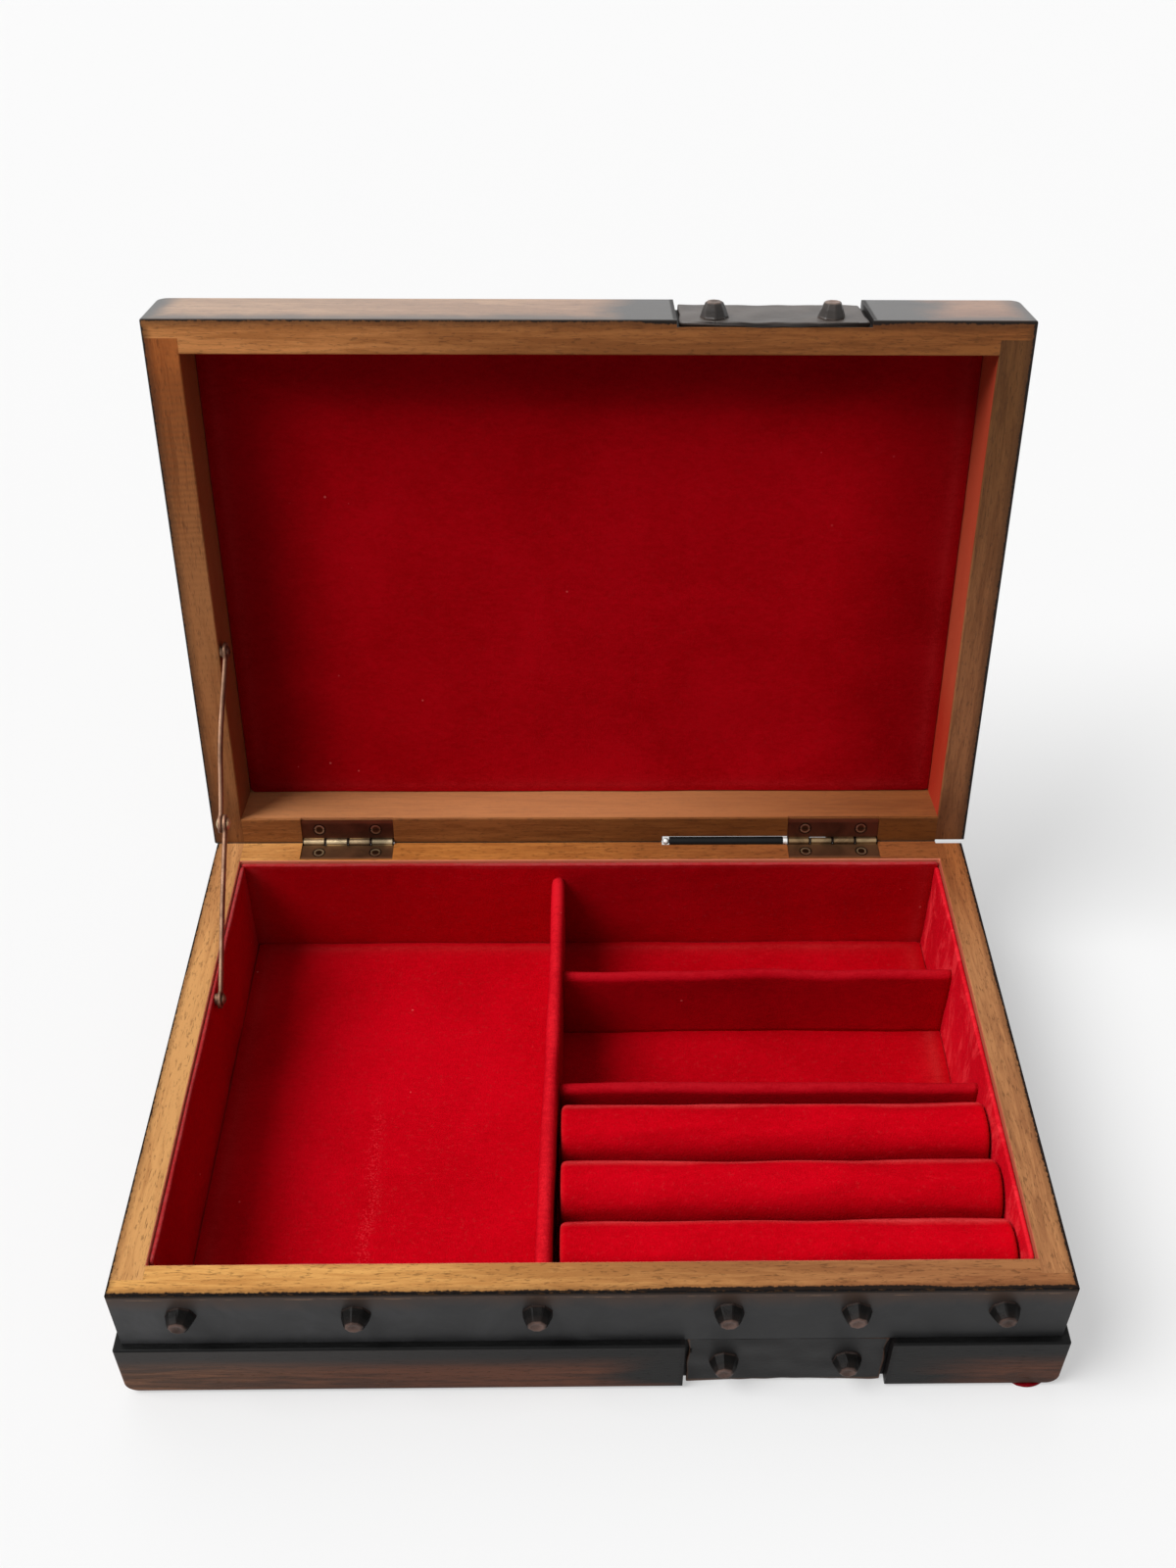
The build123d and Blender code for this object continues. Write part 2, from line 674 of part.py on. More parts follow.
strap_span = block(
    strap_left,
    strap_right,
    lid_front - beyond,
    lid_back + beyond,
    lid_rim + strap_rim_gap,
    lid_top + beyond,
)
lid_strap = (lid_core(lid_step) - lid_core(lid_step + strap_thickness)) & strap_span
lid_strap -= rod_cut
for centre in hinge_centres.values():
    lid_strap -= hinge_cut(centre, lid_side=True)
save("lid_strap", opened(drilled(lid_strap, lid_stud_spots)))
save("lid_studs", opened(studs(lid_stud_spots)))


# The stay, drawn where it stands with the lid open

save("stay_base_screw", pivot_screw(lower_arm_x, stay_base_y, stay_base_z))
save("stay_base_spacer", spacer(lower_arm_x, stay_base_y, stay_base_z))
save("stay_lid_screw", pivot_screw(upper_arm_x, stay_lid_y, stay_lid_z))
save("stay_lid_spacer", spacer(upper_arm_x, stay_lid_y, stay_lid_z))
save(
    "stay_lower_arm",
    arm(lower_arm_x, (stay_base_y, stay_base_z), lower_arm_length, stay_along),
)
save(
    "stay_upper_arm",
    arm(upper_arm_x, (stay_lid_y, stay_lid_z), upper_arm_length, stay_back),
)

# The elbow's rivet is parted between the arms: its tail is on the wall side, its head inside.
tail_shank = rod_along_x(upper_arm_x, upper_arm_x + arm_thickness, elbow_y, elbow_z, rivet_radius)
tail = Rot(0, -90, 0) * domed_head(rivet_head_radius, rivet_tail_height)
save("elbow_rivet_tail", tail_shank + Pos(upper_arm_x, elbow_y, elbow_z) * tail)
inner_face = lower_arm_x + arm_thickness
head_shank = rod_along_x(lower_arm_x, inner_face, elbow_y, elbow_z, rivet_radius)
head = Rot(0, 90, 0) * domed_head(rivet_head_radius, head_height)
save("elbow_rivet_head", head_shank + Pos(inner_face, elbow_y, elbow_z) * head)
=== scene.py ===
"""Looks of an open wooden valet box with iron-look bands, faceted studs and a red velvet interior.

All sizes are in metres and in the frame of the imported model. The case is symmetric about x = 0,
its hinges are at the back (+y) and it stands on z = 0. The lid is at rest when open, so shapes and
patterns of the lid are worked out on the shut lid and turned open about the hinge pins.
"""

import math

import bpy
import numpy as np
from mathutils import Matrix, Vector


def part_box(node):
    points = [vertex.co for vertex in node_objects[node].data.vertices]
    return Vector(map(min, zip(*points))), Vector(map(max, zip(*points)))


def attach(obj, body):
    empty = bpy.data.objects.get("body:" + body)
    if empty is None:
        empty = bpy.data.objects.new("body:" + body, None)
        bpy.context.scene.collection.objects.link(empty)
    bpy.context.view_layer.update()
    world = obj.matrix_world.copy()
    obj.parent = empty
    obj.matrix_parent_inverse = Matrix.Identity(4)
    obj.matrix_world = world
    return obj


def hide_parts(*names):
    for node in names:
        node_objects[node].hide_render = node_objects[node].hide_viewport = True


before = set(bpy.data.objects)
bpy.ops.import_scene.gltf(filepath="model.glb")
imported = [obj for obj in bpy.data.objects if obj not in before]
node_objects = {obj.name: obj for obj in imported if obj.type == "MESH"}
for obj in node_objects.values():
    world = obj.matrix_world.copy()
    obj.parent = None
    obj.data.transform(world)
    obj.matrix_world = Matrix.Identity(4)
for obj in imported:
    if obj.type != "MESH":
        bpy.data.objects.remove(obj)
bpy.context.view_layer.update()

MM = 0.001
OPEN = math.radians(100)
PIN_Y, PIN_Z = 0.0960, 0.0502
FULL_TURN = 2 * math.pi

# The straps' sides, their two rows of studs, and the front face of the straps and the front band,
# which the studs in front stand on.
STRAP_LEFT, STRAP_RIGHT = 0.0278, 0.0882
STRAP_MIDDLE = (STRAP_LEFT + STRAP_RIGHT) / 2
STRAP_STUD_X = np.array([39.3, 76.7]) * MM
FRONT_Y = -0.096

# A hinge's middle, how far its screws are from that middle along x, their y when the lid is shut,
# and its first knuckle's start and length.
HINGE_X, SCREW_X, SCREW_Y = 0.091, 0.0105, 0.0908
KNUCKLE_START, KNUCKLE = 0.074, 0.0085


# Points and profiles


def opened(points):
    """Points of the shut lid, turned back by the opening angle about the hinge pins."""
    c, s = math.cos(-OPEN), math.sin(-OPEN)
    y, z = points[..., 1] - PIN_Y, points[..., 2] - PIN_Z
    return np.stack([points[..., 0], PIN_Y + c * y - s * z, PIN_Z + s * y + c * z], axis=-1)


def ripple(a, b, size, seed, waves=7):
    """Smooth unevenness over a surface: the mean of a few sine waves of random direction and phase,
    about as long as size. Its values lie mostly between -1 and 1."""
    rng = np.random.default_rng(seed)
    total = np.zeros(np.broadcast(a, b).shape)
    for angle, phase, stretch in rng.uniform((0, 0, 0.6), (math.pi, FULL_TURN, 1.6), (waves, 3)):
        along = a * math.cos(angle) + b * math.sin(angle)
        total = total + np.sin(FULL_TURN * along / (size * stretch) + phase)
    return total * math.sqrt(2 / waves)


def corner_arcs(half_a, half_b, radius, count):
    """The four quarter circles at the corners of a rectangle, anticlockwise."""
    quarter = np.linspace(0, math.pi / 2, count)
    arcs = []
    for k, (sa, sb) in enumerate(((1, 1), (-1, 1), (-1, -1), (1, -1))):
        turn = quarter + k * math.pi / 2
        a = sa * (half_a - radius) + radius * np.cos(turn)
        b = sb * (half_b - radius) + radius * np.sin(turn)
        arcs.append(np.stack([a, b], axis=-1))
    return arcs


def rounded_outline(half_a, half_b, radius, count):
    """Points spaced evenly round a rectangle with rounded corners, anticlockwise. Each corner is a
    quarter circle, and the sides are the straight lines between the corners."""
    corners = corner_arcs(half_a, half_b, radius, 9)
    line = np.concatenate(corners + [corners[0][:1]])
    length = np.concatenate([[0], np.cumsum(np.linalg.norm(np.diff(line, axis=0), axis=1))])
    wanted = np.linspace(0, length[-1], count, endpoint=False)
    return np.stack([np.interp(wanted, length, line[:, i]) for i in (0, 1)], axis=-1)


# Meshes


def piece(name, points, faces, material, body, edge=None, smooth=True):
    """A mesh object on a body. edge is a value per point that its material reads as "edge"."""
    mesh = bpy.data.meshes.new(name)
    mesh.from_pydata(points.reshape(-1, 3).tolist(), [], faces)
    mesh.polygons.foreach_set("use_smooth", np.full(len(mesh.polygons), smooth))
    if edge is not None:
        attribute = mesh.attributes.new("edge", "FLOAT", "POINT")
        attribute.data.foreach_set("value", np.asarray(edge, np.float32).ravel())
    mesh.materials.append(material)
    mesh.validate()
    made = bpy.data.objects.new(name, mesh)
    bpy.context.scene.collection.objects.link(made)
    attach(made, body)
    return made


def tube_faces(rings, around, first=0):
    """Faces of a closed surface of rings, with one point at each end: first the start point, then
    the rings one after another, then the end point."""
    start, body = first, first + 1
    end = body + rings * around
    j = np.arange(around)
    k = (j + 1) % around
    faces = np.stack([np.full(around, start), body + k, body + j], axis=-1).tolist()
    for i in range(rings - 1):
        low, high = body + i * around, body + (i + 1) * around
        faces += np.stack([low + j, low + k, high + k, high + j], axis=-1).tolist()
    last = body + (rings - 1) * around
    faces += np.stack([np.full(around, end), last + j, last + k], axis=-1).tolist()
    return faces


def turned_over(faces):
    """The same faces, looking the other way."""
    return [face[::-1] for face in faces]


def with_ends(grid):
    """The rings of a closed surface as one list of points, with the middle of its first and last
    ring added as end points."""
    flat = grid.reshape(-1, grid.shape[-1])
    return np.concatenate([grid[0].mean(0)[None], flat, grid[-1].mean(0)[None]])


def pad_rings(outline, thick, round_edge, swell, rings):
    """A flat pad on its own plane. Each ring is the outline scaled towards the middle: the rings
    run out over the top, round the edge in a half circle, and back in under the foot. The top
    swells by a share of one minus the fourth power of the distance from the middle. Also gives how
    near each point is to the rim, and whether each ring is on the top."""
    reach = np.linspace(0.04, 1, rings)
    turn = np.linspace(math.pi / 2, -math.pi / 2, 9)
    half = thick / 2
    scale = np.concatenate([reach[:-1], np.ones(9), reach[::-1][1:]])
    flat = np.ones(rings - 1)
    push = round_edge * np.concatenate([flat, 1 - np.cos(turn), flat])
    height = np.concatenate([thick * flat, half + half * np.sin(turn), 0 * flat])
    top = np.concatenate([flat, (np.sin(turn) > 0) * 1.0, 0 * flat])
    half_a, half_b = np.abs(outline).max(0)
    a = outline[None, :, 0] * scale[:, None] * (1 - push[:, None] / half_a)
    b = outline[None, :, 1] * scale[:, None] * (1 - push[:, None] / half_b)
    lift = swell * (1 - scale**4) * top
    c = np.broadcast_to((height + lift)[:, None], a.shape)
    rim = np.concatenate([reach[:-1] ** 40, np.cos(turn) ** 0.5, 0 * flat])
    return np.stack([a, b, c], axis=-1), np.broadcast_to(rim[:, None], a.shape), top


def lining(node, across, body, material, seed, taller=0.0, shut_box=None):
    """A velvet panel in the place of a lining node, or in a box of the shut lid. Its face looks
    along the unit vector across, which points away from the wood that it is glued to, and is very
    slightly domed and uneven. Its pile stands up above the node's top by the length taller."""
    low, high = shut_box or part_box(node)
    low, high = np.array(low), np.array(high) + (0, 0, taller)
    across = np.array(across, float)
    n = int(np.abs(across).argmax())
    first, second = [i for i in (0, 1, 2) if i != n]
    middle, half = (low + high) / 2, (high - low) / 2
    outline = rounded_outline(half[first], half[second], 0.0006, 360)
    grid, rim, top = pad_rings(outline, 2 * half[n], 0.0006, 0.0002, 34)
    uneven = 0.00012
    grid[..., 2] += uneven * ripple(grid[..., 0], grid[..., 1], 0.05, seed) * top[:, None]
    grid[..., 2] += 0.3 * uneven * ripple(grid[..., 0], grid[..., 1], 0.012, seed + 1) * top[:, None]
    points = np.zeros(grid.shape)
    points[..., first] = middle[first] + grid[..., 0]
    points[..., second] = middle[second] + grid[..., 1]
    back = low[n] if across[n] > 0 else high[n]
    points[..., n] = back + across[n] * grid[..., 2]
    # The rim is carried as edge: the velvet paints it paler, a painted sheen along the panel's edges.
    points, edge = with_ends(points), with_ends(rim[..., None])
    faces = tube_faces(grid.shape[0], grid.shape[1])
    if np.linalg.det([np.eye(3)[first], np.eye(3)[second], across]) > 0:
        faces = turned_over(faces)
    if shut_box:
        points = opened(points)
    made = piece(node + "_velvet", points, faces, material, body, edge)
    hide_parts(node)
    return made


def divider(node, along, body, material, seed, lean=0.0):
    """A velvet-covered board in the place of a divider node: a section with a half-round top,
    carried along its length, bowed a little sideways and rounded off at its ends. lean is how far
    its front or left end stands to the left or front of its other end."""
    low, high = (np.array(v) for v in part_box(node))
    side = 1 - along
    half, height = (high[side] - low[side]) / 2, high[2] - low[2]
    turn = np.linspace(0, math.pi, 15)
    right = np.linspace(0, height - half, 14, endpoint=False)
    foot = np.linspace(half, -half, 6, endpoint=False)[::-1]
    a = np.concatenate([np.full(14, half), half * np.cos(turn), np.full(14, -half), -foot[::-1]])
    c = np.concatenate([right, height - half + half * np.sin(turn), right[::-1], np.zeros(6)])
    rings = 90
    t = np.linspace(0, 1, rings)
    ends = np.minimum(t, 1 - t) * (high[along] - low[along])
    close = np.sqrt(np.clip(1 - (1 - np.clip(ends / 0.0012, 0, 1)) ** 2, 0.02, 1))
    place = low[along] + t * (high[along] - low[along])
    sway = 0.00035 * np.sin(math.pi * t * 1.7 + seed) - lean * (0.5 - t)
    points = np.zeros((rings, len(a), 3))
    uneven = ripple(place[:, None], c[None] + a[None], 0.03, seed)
    width = a[None] * (0.86 + 0.14 * close[:, None]) * (1 + 0.025 * uneven)
    points[..., side] = (low[side] + high[side]) / 2 + width + sway[:, None]
    points[..., along] = place[:, None]
    rise = 0.00025 * ripple(place, place * 0, 0.045, seed + 5)
    points[..., 2] = low[2] + c[None] * (1 + (rise[:, None] - 0.0003) / height)
    # The crest and the rounded ends are carried as edge: the velvet paints them paler, a painted sheen.
    crest = np.clip((c - (height - half)) / half, 0, 1) ** 1.5
    edge = np.broadcast_to(crest[None], points.shape[:2])
    edge = np.maximum(edge, (1 - close)[:, None])
    faces = tube_faces(rings, len(a))
    if along == 0:
        faces = turned_over(faces)
    made = piece(node + "_velvet", with_ends(points), faces, material, body, with_ends(edge[..., None]))
    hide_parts(node)
    return made


def ring_roll(node, material, seed):
    """A foam roll under velvet in the place of a roll node. Its section is a half circle over
    sides that draw in to the foot; it is carried along x and its ends close in a quarter circle.
    Its cover is then blown up a little as cloth, and no point moves by more than 0.35 mm."""
    low, high = (np.array(v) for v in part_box(node))
    radius = (high[1] - low[1]) / 2 - 0.00025
    crown = high[2] - low[2] - 0.0003 - radius
    turn = np.linspace(0, math.pi, 25)
    rise = np.linspace(0, crown, 12, endpoint=False)
    waist = radius - 0.0007 * (1 - rise / crown)
    foot = np.linspace(-waist[0], waist[0], 9)[1:-1]
    a = np.concatenate([waist, radius * np.cos(turn), -waist[::-1], foot])
    c = np.concatenate([rise, crown + radius * np.sin(turn), rise[::-1], 0 * foot])
    span = high[0] - low[0]
    inner = np.linspace(0, 1, 74)
    round_end = 0.0020
    cap = round_end * (1 - np.cos(np.linspace(0, math.pi / 2, 7)))[:-1]
    place = np.concatenate([cap, round_end + inner * (span - 2 * round_end), (span - cap)[::-1]])
    shrink = np.minimum(place, span - place) / round_end
    draw = round_end * (1 - np.sqrt(np.clip(1 - (1 - np.clip(shrink, 0, 1)) ** 2, 0, 1)))
    away = np.hypot(a, c - crown * 0.55)
    points = np.zeros((len(place), len(a), 3))
    factor = 1 - draw[:, None] / away[None]
    points[..., 0] = low[0] + place[:, None]
    points[..., 1] = (low[1] + high[1]) / 2 + a[None] * factor
    points[..., 2] = low[2] + np.maximum(crown * 0.55 + (c[None] - crown * 0.55) * factor, 0)
    swing = ripple(points[..., 0], points[..., 1] * 3, 0.04, seed)
    points[..., 2] += 0.00018 * swing * (c[None] > crown)
    # A pale line is painted along the back of the crown and round the ends: a painted sheen where the pile
    # is seen at a grazing angle.
    crest = np.clip(np.sin(np.concatenate([0 * rise, turn, 0 * rise, 0 * foot])), 0, 1)
    behind = np.exp(-((a / radius - 0.62) ** 2) / 0.012) * (c > crown)
    edge = np.broadcast_to((0.75 * behind * crest)[None], points.shape[:2])
    edge = with_ends(np.maximum(edge, 0.30 * (draw / round_end)[:, None])[..., None])
    faces = turned_over(tube_faces(*points.shape[:2]))
    made = piece(node + "_velvet", with_ends(points), faces, material, "base", edge)
    blow_up(made, low[2], 0.00035)
    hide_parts(node)
    return made


def blow_up(made, foot, most_move):
    """Swells a closed cover as cloth under pressure, with its foot held, and applies the result.
    Each point keeps to a ball of radius most_move round its own start."""
    mesh = made.data
    start = np.zeros(len(mesh.vertices) * 3)
    mesh.vertices.foreach_get("co", start)
    start = start.reshape(-1, 3)
    held = made.vertex_groups.new(name="foot")
    held.add(np.flatnonzero(start[:, 2] < foot + 0.002).tolist(), 1.0, "REPLACE")
    cloth = made.modifiers.new("cover", "CLOTH")
    cloth.settings.quality = 6
    cloth.settings.mass = 0.25
    cloth.settings.tension_stiffness = 12
    cloth.settings.compression_stiffness = 12
    cloth.settings.bending_stiffness = 0.4
    cloth.settings.use_pressure = True
    cloth.settings.uniform_pressure_force = 5
    cloth.settings.vertex_group_mass = held.name
    cloth.settings.effector_weights.gravity = 0
    cloth.point_cache.frame_start, cloth.point_cache.frame_end = 1, 14
    scene = bpy.context.scene
    for number in range(1, 15):
        scene.frame_set(number)
    graph = bpy.context.evaluated_depsgraph_get()
    blown = np.zeros(len(mesh.vertices) * 3)
    made.evaluated_get(graph).data.vertices.foreach_get("co", blown)
    move = blown.reshape(-1, 3) - start
    length = np.linalg.norm(move, axis=1, keepdims=True)
    move *= np.minimum(1, most_move / np.maximum(length, 1e-9))
    made.modifiers.remove(cloth)
    made.vertex_groups.remove(held)
    mesh.vertices.foreach_set("co", (start + move).ravel())
    mesh.update()
    scene.frame_set(1)


def stud_shape(turn, seed, tall):
    """A forged nail head on the xy plane: eight facets with worn corners that narrow to a flat,
    dimpled tip. Each ring is a polygon whose corners are each cut into two points. A tall one is
    taller by a tenth."""
    rng = np.random.default_rng(seed)
    corner = np.arange(8) * FULL_TURN / 8
    angle = np.sort(np.concatenate([corner - 0.07, corner + 0.07])) + turn
    radius = np.array([4.60, 4.60, 4.45, 3.72, 2.92, 2.42, 2.00, 1.25, 0.60]) * MM
    height = np.array([-0.10, 0.35, 0.75, 2.60, 4.20, 4.52, 4.60, 4.42, 4.28]) * MM
    if tall:
        height = height * 1.1
    worn = np.array([0.10, 0.15, 0.0, 0.0, 0.05, 0.8, 1.0, 0.9, 0.8])
    uneven = 1 + 0.035 * rng.standard_normal((1, 16)) + 0.02 * rng.standard_normal((9, 16))
    radial = radius[:, None] * np.clip(uneven, 0.9, 1.0)
    tip = rng.uniform(-0.25, 0.25, 2) * MM
    lean = (np.clip(height, 0, None) / height.max())[:, None]
    grid = np.stack(
        [
            radial * np.cos(angle)[None] + tip[0] * lean,
            radial * np.sin(angle)[None] + tip[1] * lean,
            np.broadcast_to(height[:, None], radial.shape),
        ],
        axis=-1,
    )
    return with_ends(grid), with_ends(np.broadcast_to(worn[:, None, None], (9, 16, 1)))


def studs(node, places, body, material, seed):
    """The nail heads of a stud node. A place is a point, the way out and the way up on the face,
    and how far the head is turned about its own axis."""
    points, edges, faces = [], [], []
    for k, (spot, away, up, turn) in enumerate(places):
        shape, worn = stud_shape(turn, seed + k, body == "lid")
        away, up = np.array(away, float), np.array(up, float)
        faces += turned_over(tube_faces(9, 16, sum(map(len, points))))
        points.append(np.array(spot) + shape @ np.stack([np.cross(up, away), up, away]))
        edges.append(worn)
    points = np.concatenate(points)
    if body == "lid":
        points = opened(points)
    made = piece(node + "_forged", points, faces, material, body, np.concatenate(edges), False)
    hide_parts(node)
    return made


def strip_section(half, thick, radius, count):
    """A thin rectangle with rounded corners: two long sides of count points and four arcs."""
    parts = []
    for k, arc in enumerate(corner_arcs(half, thick / 2, radius, 5)):
        parts.append(arc)
        if k in (0, 2):
            side = 1 - k
            run = np.linspace(side, -side, count + 2)[1:-1] * (half - radius)
            parts.append(np.stack([run, np.full(count, side * thick / 2)], axis=-1))
    return np.concatenate(parts)


def strap(node, path, normals, body, material, bow, seed):
    """A forged strip carried along a path in the yz plane. Its section is a thin rounded rectangle
    that wavers in width, its face is beaten uneven, and its first end is moved along the path by
    the given amounts at points spaced evenly from its left corner to its right one."""
    length = np.concatenate([[0], np.cumsum(np.linalg.norm(np.diff(path, axis=0), axis=1))])
    half = (STRAP_RIGHT - STRAP_LEFT) / 2
    section = strip_section(half, 0.0012, 0.0004, 90)
    dense = np.unique(np.concatenate([np.linspace(0, length[-1], 150), length]))
    a = section[:, 0] / half
    share = (a + 1) / 2
    reach = np.interp(share, np.linspace(0, 1, len(bow)), bow)
    reach = reach + 0.0002 * ripple(share, 0 * share, 0.16, seed)
    fade = np.clip(1 - dense / 0.012, 0, 1) ** 2
    along = dense[:, None] + reach[None] * fade[:, None]
    waver = ripple(dense, 0 * dense, 0.016, seed + 2)[:, None] - 1
    across = section[None, :, 0] + 0.0003 * waver * (np.sign(a) * (np.abs(a) > 0.97))[None]
    beaten = 0.00008 * ripple(along, across, 0.011, seed + 3)
    lift = section[None, :, 1] + np.where(section[None, :, 1] > 0, beaten, 0)
    slope = (path[1] - path[0]) / length[1]
    y = np.interp(along, length, path[:, 0]) + slope[0] * np.minimum(along, 0)
    z = np.interp(along, length, path[:, 1]) + slope[1] * np.minimum(along, 0)
    ny, nz = (np.interp(along, length, normals[:, i]) for i in (0, 1))
    points = np.stack([STRAP_MIDDLE + across, y + lift * ny, z + lift * nz], axis=-1)
    worn = np.clip(np.abs(a) * 30 - 29, 0, 1)[None] + np.clip(1 - along / 0.0012, 0, 1)
    faces = tube_faces(*points.shape[:2])
    points, worn = with_ends(points), with_ends(np.clip(worn, 0, 1)[..., None])
    if body == "lid":
        points = opened(points)
    made = piece(node + "_forged", points, faces, material, body, worn)
    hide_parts(node)
    return made


def arm(node, start, end, x0, x1, body, material, bow):
    """A stamped brass strip between two pivots. Its outline is the wider of a straight strip and a
    circle round each pivot; its edges are rounded, and between its ends it bows sideways by the
    square of half a sine wave."""
    start, end = np.array(start), np.array(end)
    reach = np.linalg.norm(end - start)
    along = (end - start) / reach
    eye, strip = 0.0032, 0.0016
    s = np.concatenate([
        -eye * np.cos(np.linspace(0.12, math.pi / 2, 12)),
        np.linspace(0, reach, 90)[1:-1],
        reach + eye * np.sin(np.linspace(0, math.pi / 2 - 0.12, 12)),
    ])
    near = np.minimum(np.abs(s), np.abs(s - reach))
    inside = (s > 0) & (s < reach)
    round_eye = np.sqrt(np.clip(eye**2 - near**2, 0, None))
    half = np.where(inside, np.maximum(strip, round_eye), round_eye)
    thick = x1 - x0
    section = rounded_outline(1.0, thick / 2, thick * 0.32, 36)
    t = np.clip(s / reach, 0, 1)
    side = bow * np.sin(math.pi * t) ** 2
    w = section[None, :, 0] * half[:, None]
    x = (x0 + x1) / 2 + section[None, :, 1] + side[:, None]
    y = start[0] + s[:, None] * along[0] - w * along[1]
    z = start[1] + s[:, None] * along[1] + w * along[0]
    points = np.stack([x, y, z], axis=-1)
    rim = np.broadcast_to((np.abs(section[:, 0]) > 0.96)[None] * 1.0, w.shape)
    faces = turned_over(tube_faces(*w.shape))
    made = piece(node + "_stamped", with_ends(points), faces, material, body, with_ends(rim[..., None]))
    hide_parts(node)
    return made


# Shader nodes


class Signal:
    """An output of a shader node. Sums that are written with it add the nodes that work them out."""

    def __init__(self, tree, socket):
        self.tree, self.socket = tree, socket

    def do(self, operation, *others):
        """One step of the Math node on this number and the others."""
        return out(put("Math", dict(enumerate((self, *others))), operation=operation))

    def __add__(self, other):
        return self.do("ADD", other)

    def __sub__(self, other):
        return self.do("SUBTRACT", other)

    def __rsub__(self, other):
        return out(put("Math", {0: other, 1: self}, operation="SUBTRACT"))

    def __mul__(self, other):
        return self.do("MULTIPLY", other)

    def __truediv__(self, other):
        return self.do("DIVIDE", other)

    def __abs__(self):
        return self.do("ABSOLUTE")


def out(node, name=0):
    """An output of a node, by its name or number."""
    return Signal(node.id_data, node.outputs[name])


def feed(node, inputs):
    """Sets the inputs of a node. Each gets a value, or the signal that feeds it. A colour is
    written without its alpha, which is 1."""
    for name, value in inputs.items():
        socket = node.inputs[name]
        if isinstance(value, Signal):
            value.tree.links.new(value.socket, socket)
        elif socket.type == "RGBA":
            socket.default_value = (*value, 1)
        else:
            socket.default_value = value


def put(kind, inputs=None, tree=None, **settings):
    """Adds a node to a tree, or else to the tree that its inputs come from."""
    inputs = inputs or {}
    tree = tree or next(value.tree for value in inputs.values() if isinstance(value, Signal))
    made = tree.nodes.new("ShaderNode" + kind)
    for name, value in settings.items():
        setattr(made, name, value)
    feed(made, inputs)
    return made


def most(first, second):
    """The larger of two numbers."""
    return first.do("MAXIMUM", second)


def distance(a, b):
    """The length of the vector a, b."""
    return (a * a + b * b).do("SQRT")


def ramp(value, low, high, start=0.0, end=1.0):
    """A smooth step from start to end as the value goes from low to high."""
    inputs = {"Value": value, "From Min": low, "From Max": high, "To Min": start, "To Max": end}
    return out(put("MapRange", inputs, interpolation_type="SMOOTHSTEP"))


def mix(share, first, second, way="MIX"):
    """Two colours mixed by share."""
    inputs = {0: share, 6: first, 7: second}
    return out(put("Mix", inputs, data_type="RGBA", blend_type=way), 2)


def parts(place):
    """The x, y and z of a place."""
    split = put("SeparateXYZ", {0: place})
    return out(split, 0), out(split, 1), out(split, 2)


def stretched(place, waves):
    """A place in waves per metre, which are a number or one for each of x, y and z."""
    waves = waves if isinstance(waves, tuple) else (waves,) * 3
    return out(put("VectorMath", {0: place, 1: waves}, operation="MULTIPLY"))


def noise(place, waves, detail=3.0, rough=0.55, warp=0.0):
    """Noise on a place, of so many waves per metre."""
    inputs = {"Vector": stretched(place, waves), "Scale": 1.0}
    inputs |= {"Detail": detail, "Roughness": rough, "Distortion": warp}
    return out(put("TexNoise", inputs))


def group(name, build, outputs, **numbers):
    """A shader node group that takes a place and numbers, whose usual values are given. build
    works its outputs out from them."""
    tree = bpy.data.node_groups.new(name, "ShaderNodeTree")
    tree.interface.new_socket("place", in_out="INPUT", socket_type="NodeSocketVector")
    for title, value in numbers.items():
        socket = tree.interface.new_socket(title, in_out="INPUT", socket_type="NodeSocketFloat")
        socket.default_value = value
    for title in outputs:
        tree.interface.new_socket(title, in_out="OUTPUT", socket_type="NodeSocketFloat")
    entry, leave = tree.nodes.new("NodeGroupInput"), tree.nodes.new("NodeGroupOutput")
    results = build(**{title: out(entry, title) for title in ("place", *numbers)})
    feed(leave, dict(zip(outputs, results)))
    return tree


def use(shared, **inputs):
    """Places a node group in the tree of its inputs, and gives its outputs by name."""
    made = put("Group", inputs, node_tree=shared)
    return {output.name: out(made, output.name) for output in made.outputs}


def wood_figure(place):
    """Grain that runs along x: broad figure, fine streaks and short dark pores."""
    figure = noise(place, (7, 62, 62), 3, 0.5, 0.8)
    streaks = noise(place, (52, 640, 640), 5, 0.65, 0.6)
    pores = ramp(noise(place, (230, 2600, 2600), 2, 0.5), 0.60, 0.72)
    pores = most(pores, ramp(noise(place, (330, 1150, 1150), 3, 0.6, 0.3), 0.55, 0.70, 0.0, 0.75))
    return figure, streaks, pores, streaks * 0.4 - pores * 0.8


def burn(place, half_width, half_depth, middle, haze_width):
    """How far a point is burnt: full within about half a millimetre of the outer faces of a case
    of the given half sizes, in a ragged line that is wider in front of the strap and fades out
    towards the hinges. Also how deep the point lies under those faces, and whether it is in the
    groove that the strap lies in."""
    x, y, _ = parts(place)
    side = half_width - abs(x)
    end = half_depth - abs(y - middle)
    inside = side.do("MINIMUM", end + ramp(y, 0.05, 0.09, 0.0, 0.0022)) - ramp(x, 0.05, 0.13, 0.0, 0.0003)
    jag = (noise(place, 720, 5, 0.7) - 0.5) * 0.0018 + (noise(place, 60, 3, 0.5) - 0.5) * 0.0011
    near = abs(x - STRAP_MIDDLE)
    wide = ramp(near, 0.046, 0.030, 0.0, 0.0007) * ramp(y, 0.0, -0.05)
    line = ramp(inside + jag - wide, 0.00085, 0.00045)
    haze = ramp(inside + jag, haze_width, 0.0)
    groove = ramp(near, 0.0326, 0.0318) * ramp(end, 0.0034, 0.0028)
    depth = side.do("MINIMUM", end)
    return most(line, ramp(depth, 0.00030, 0.00015)), haze, depth, groove


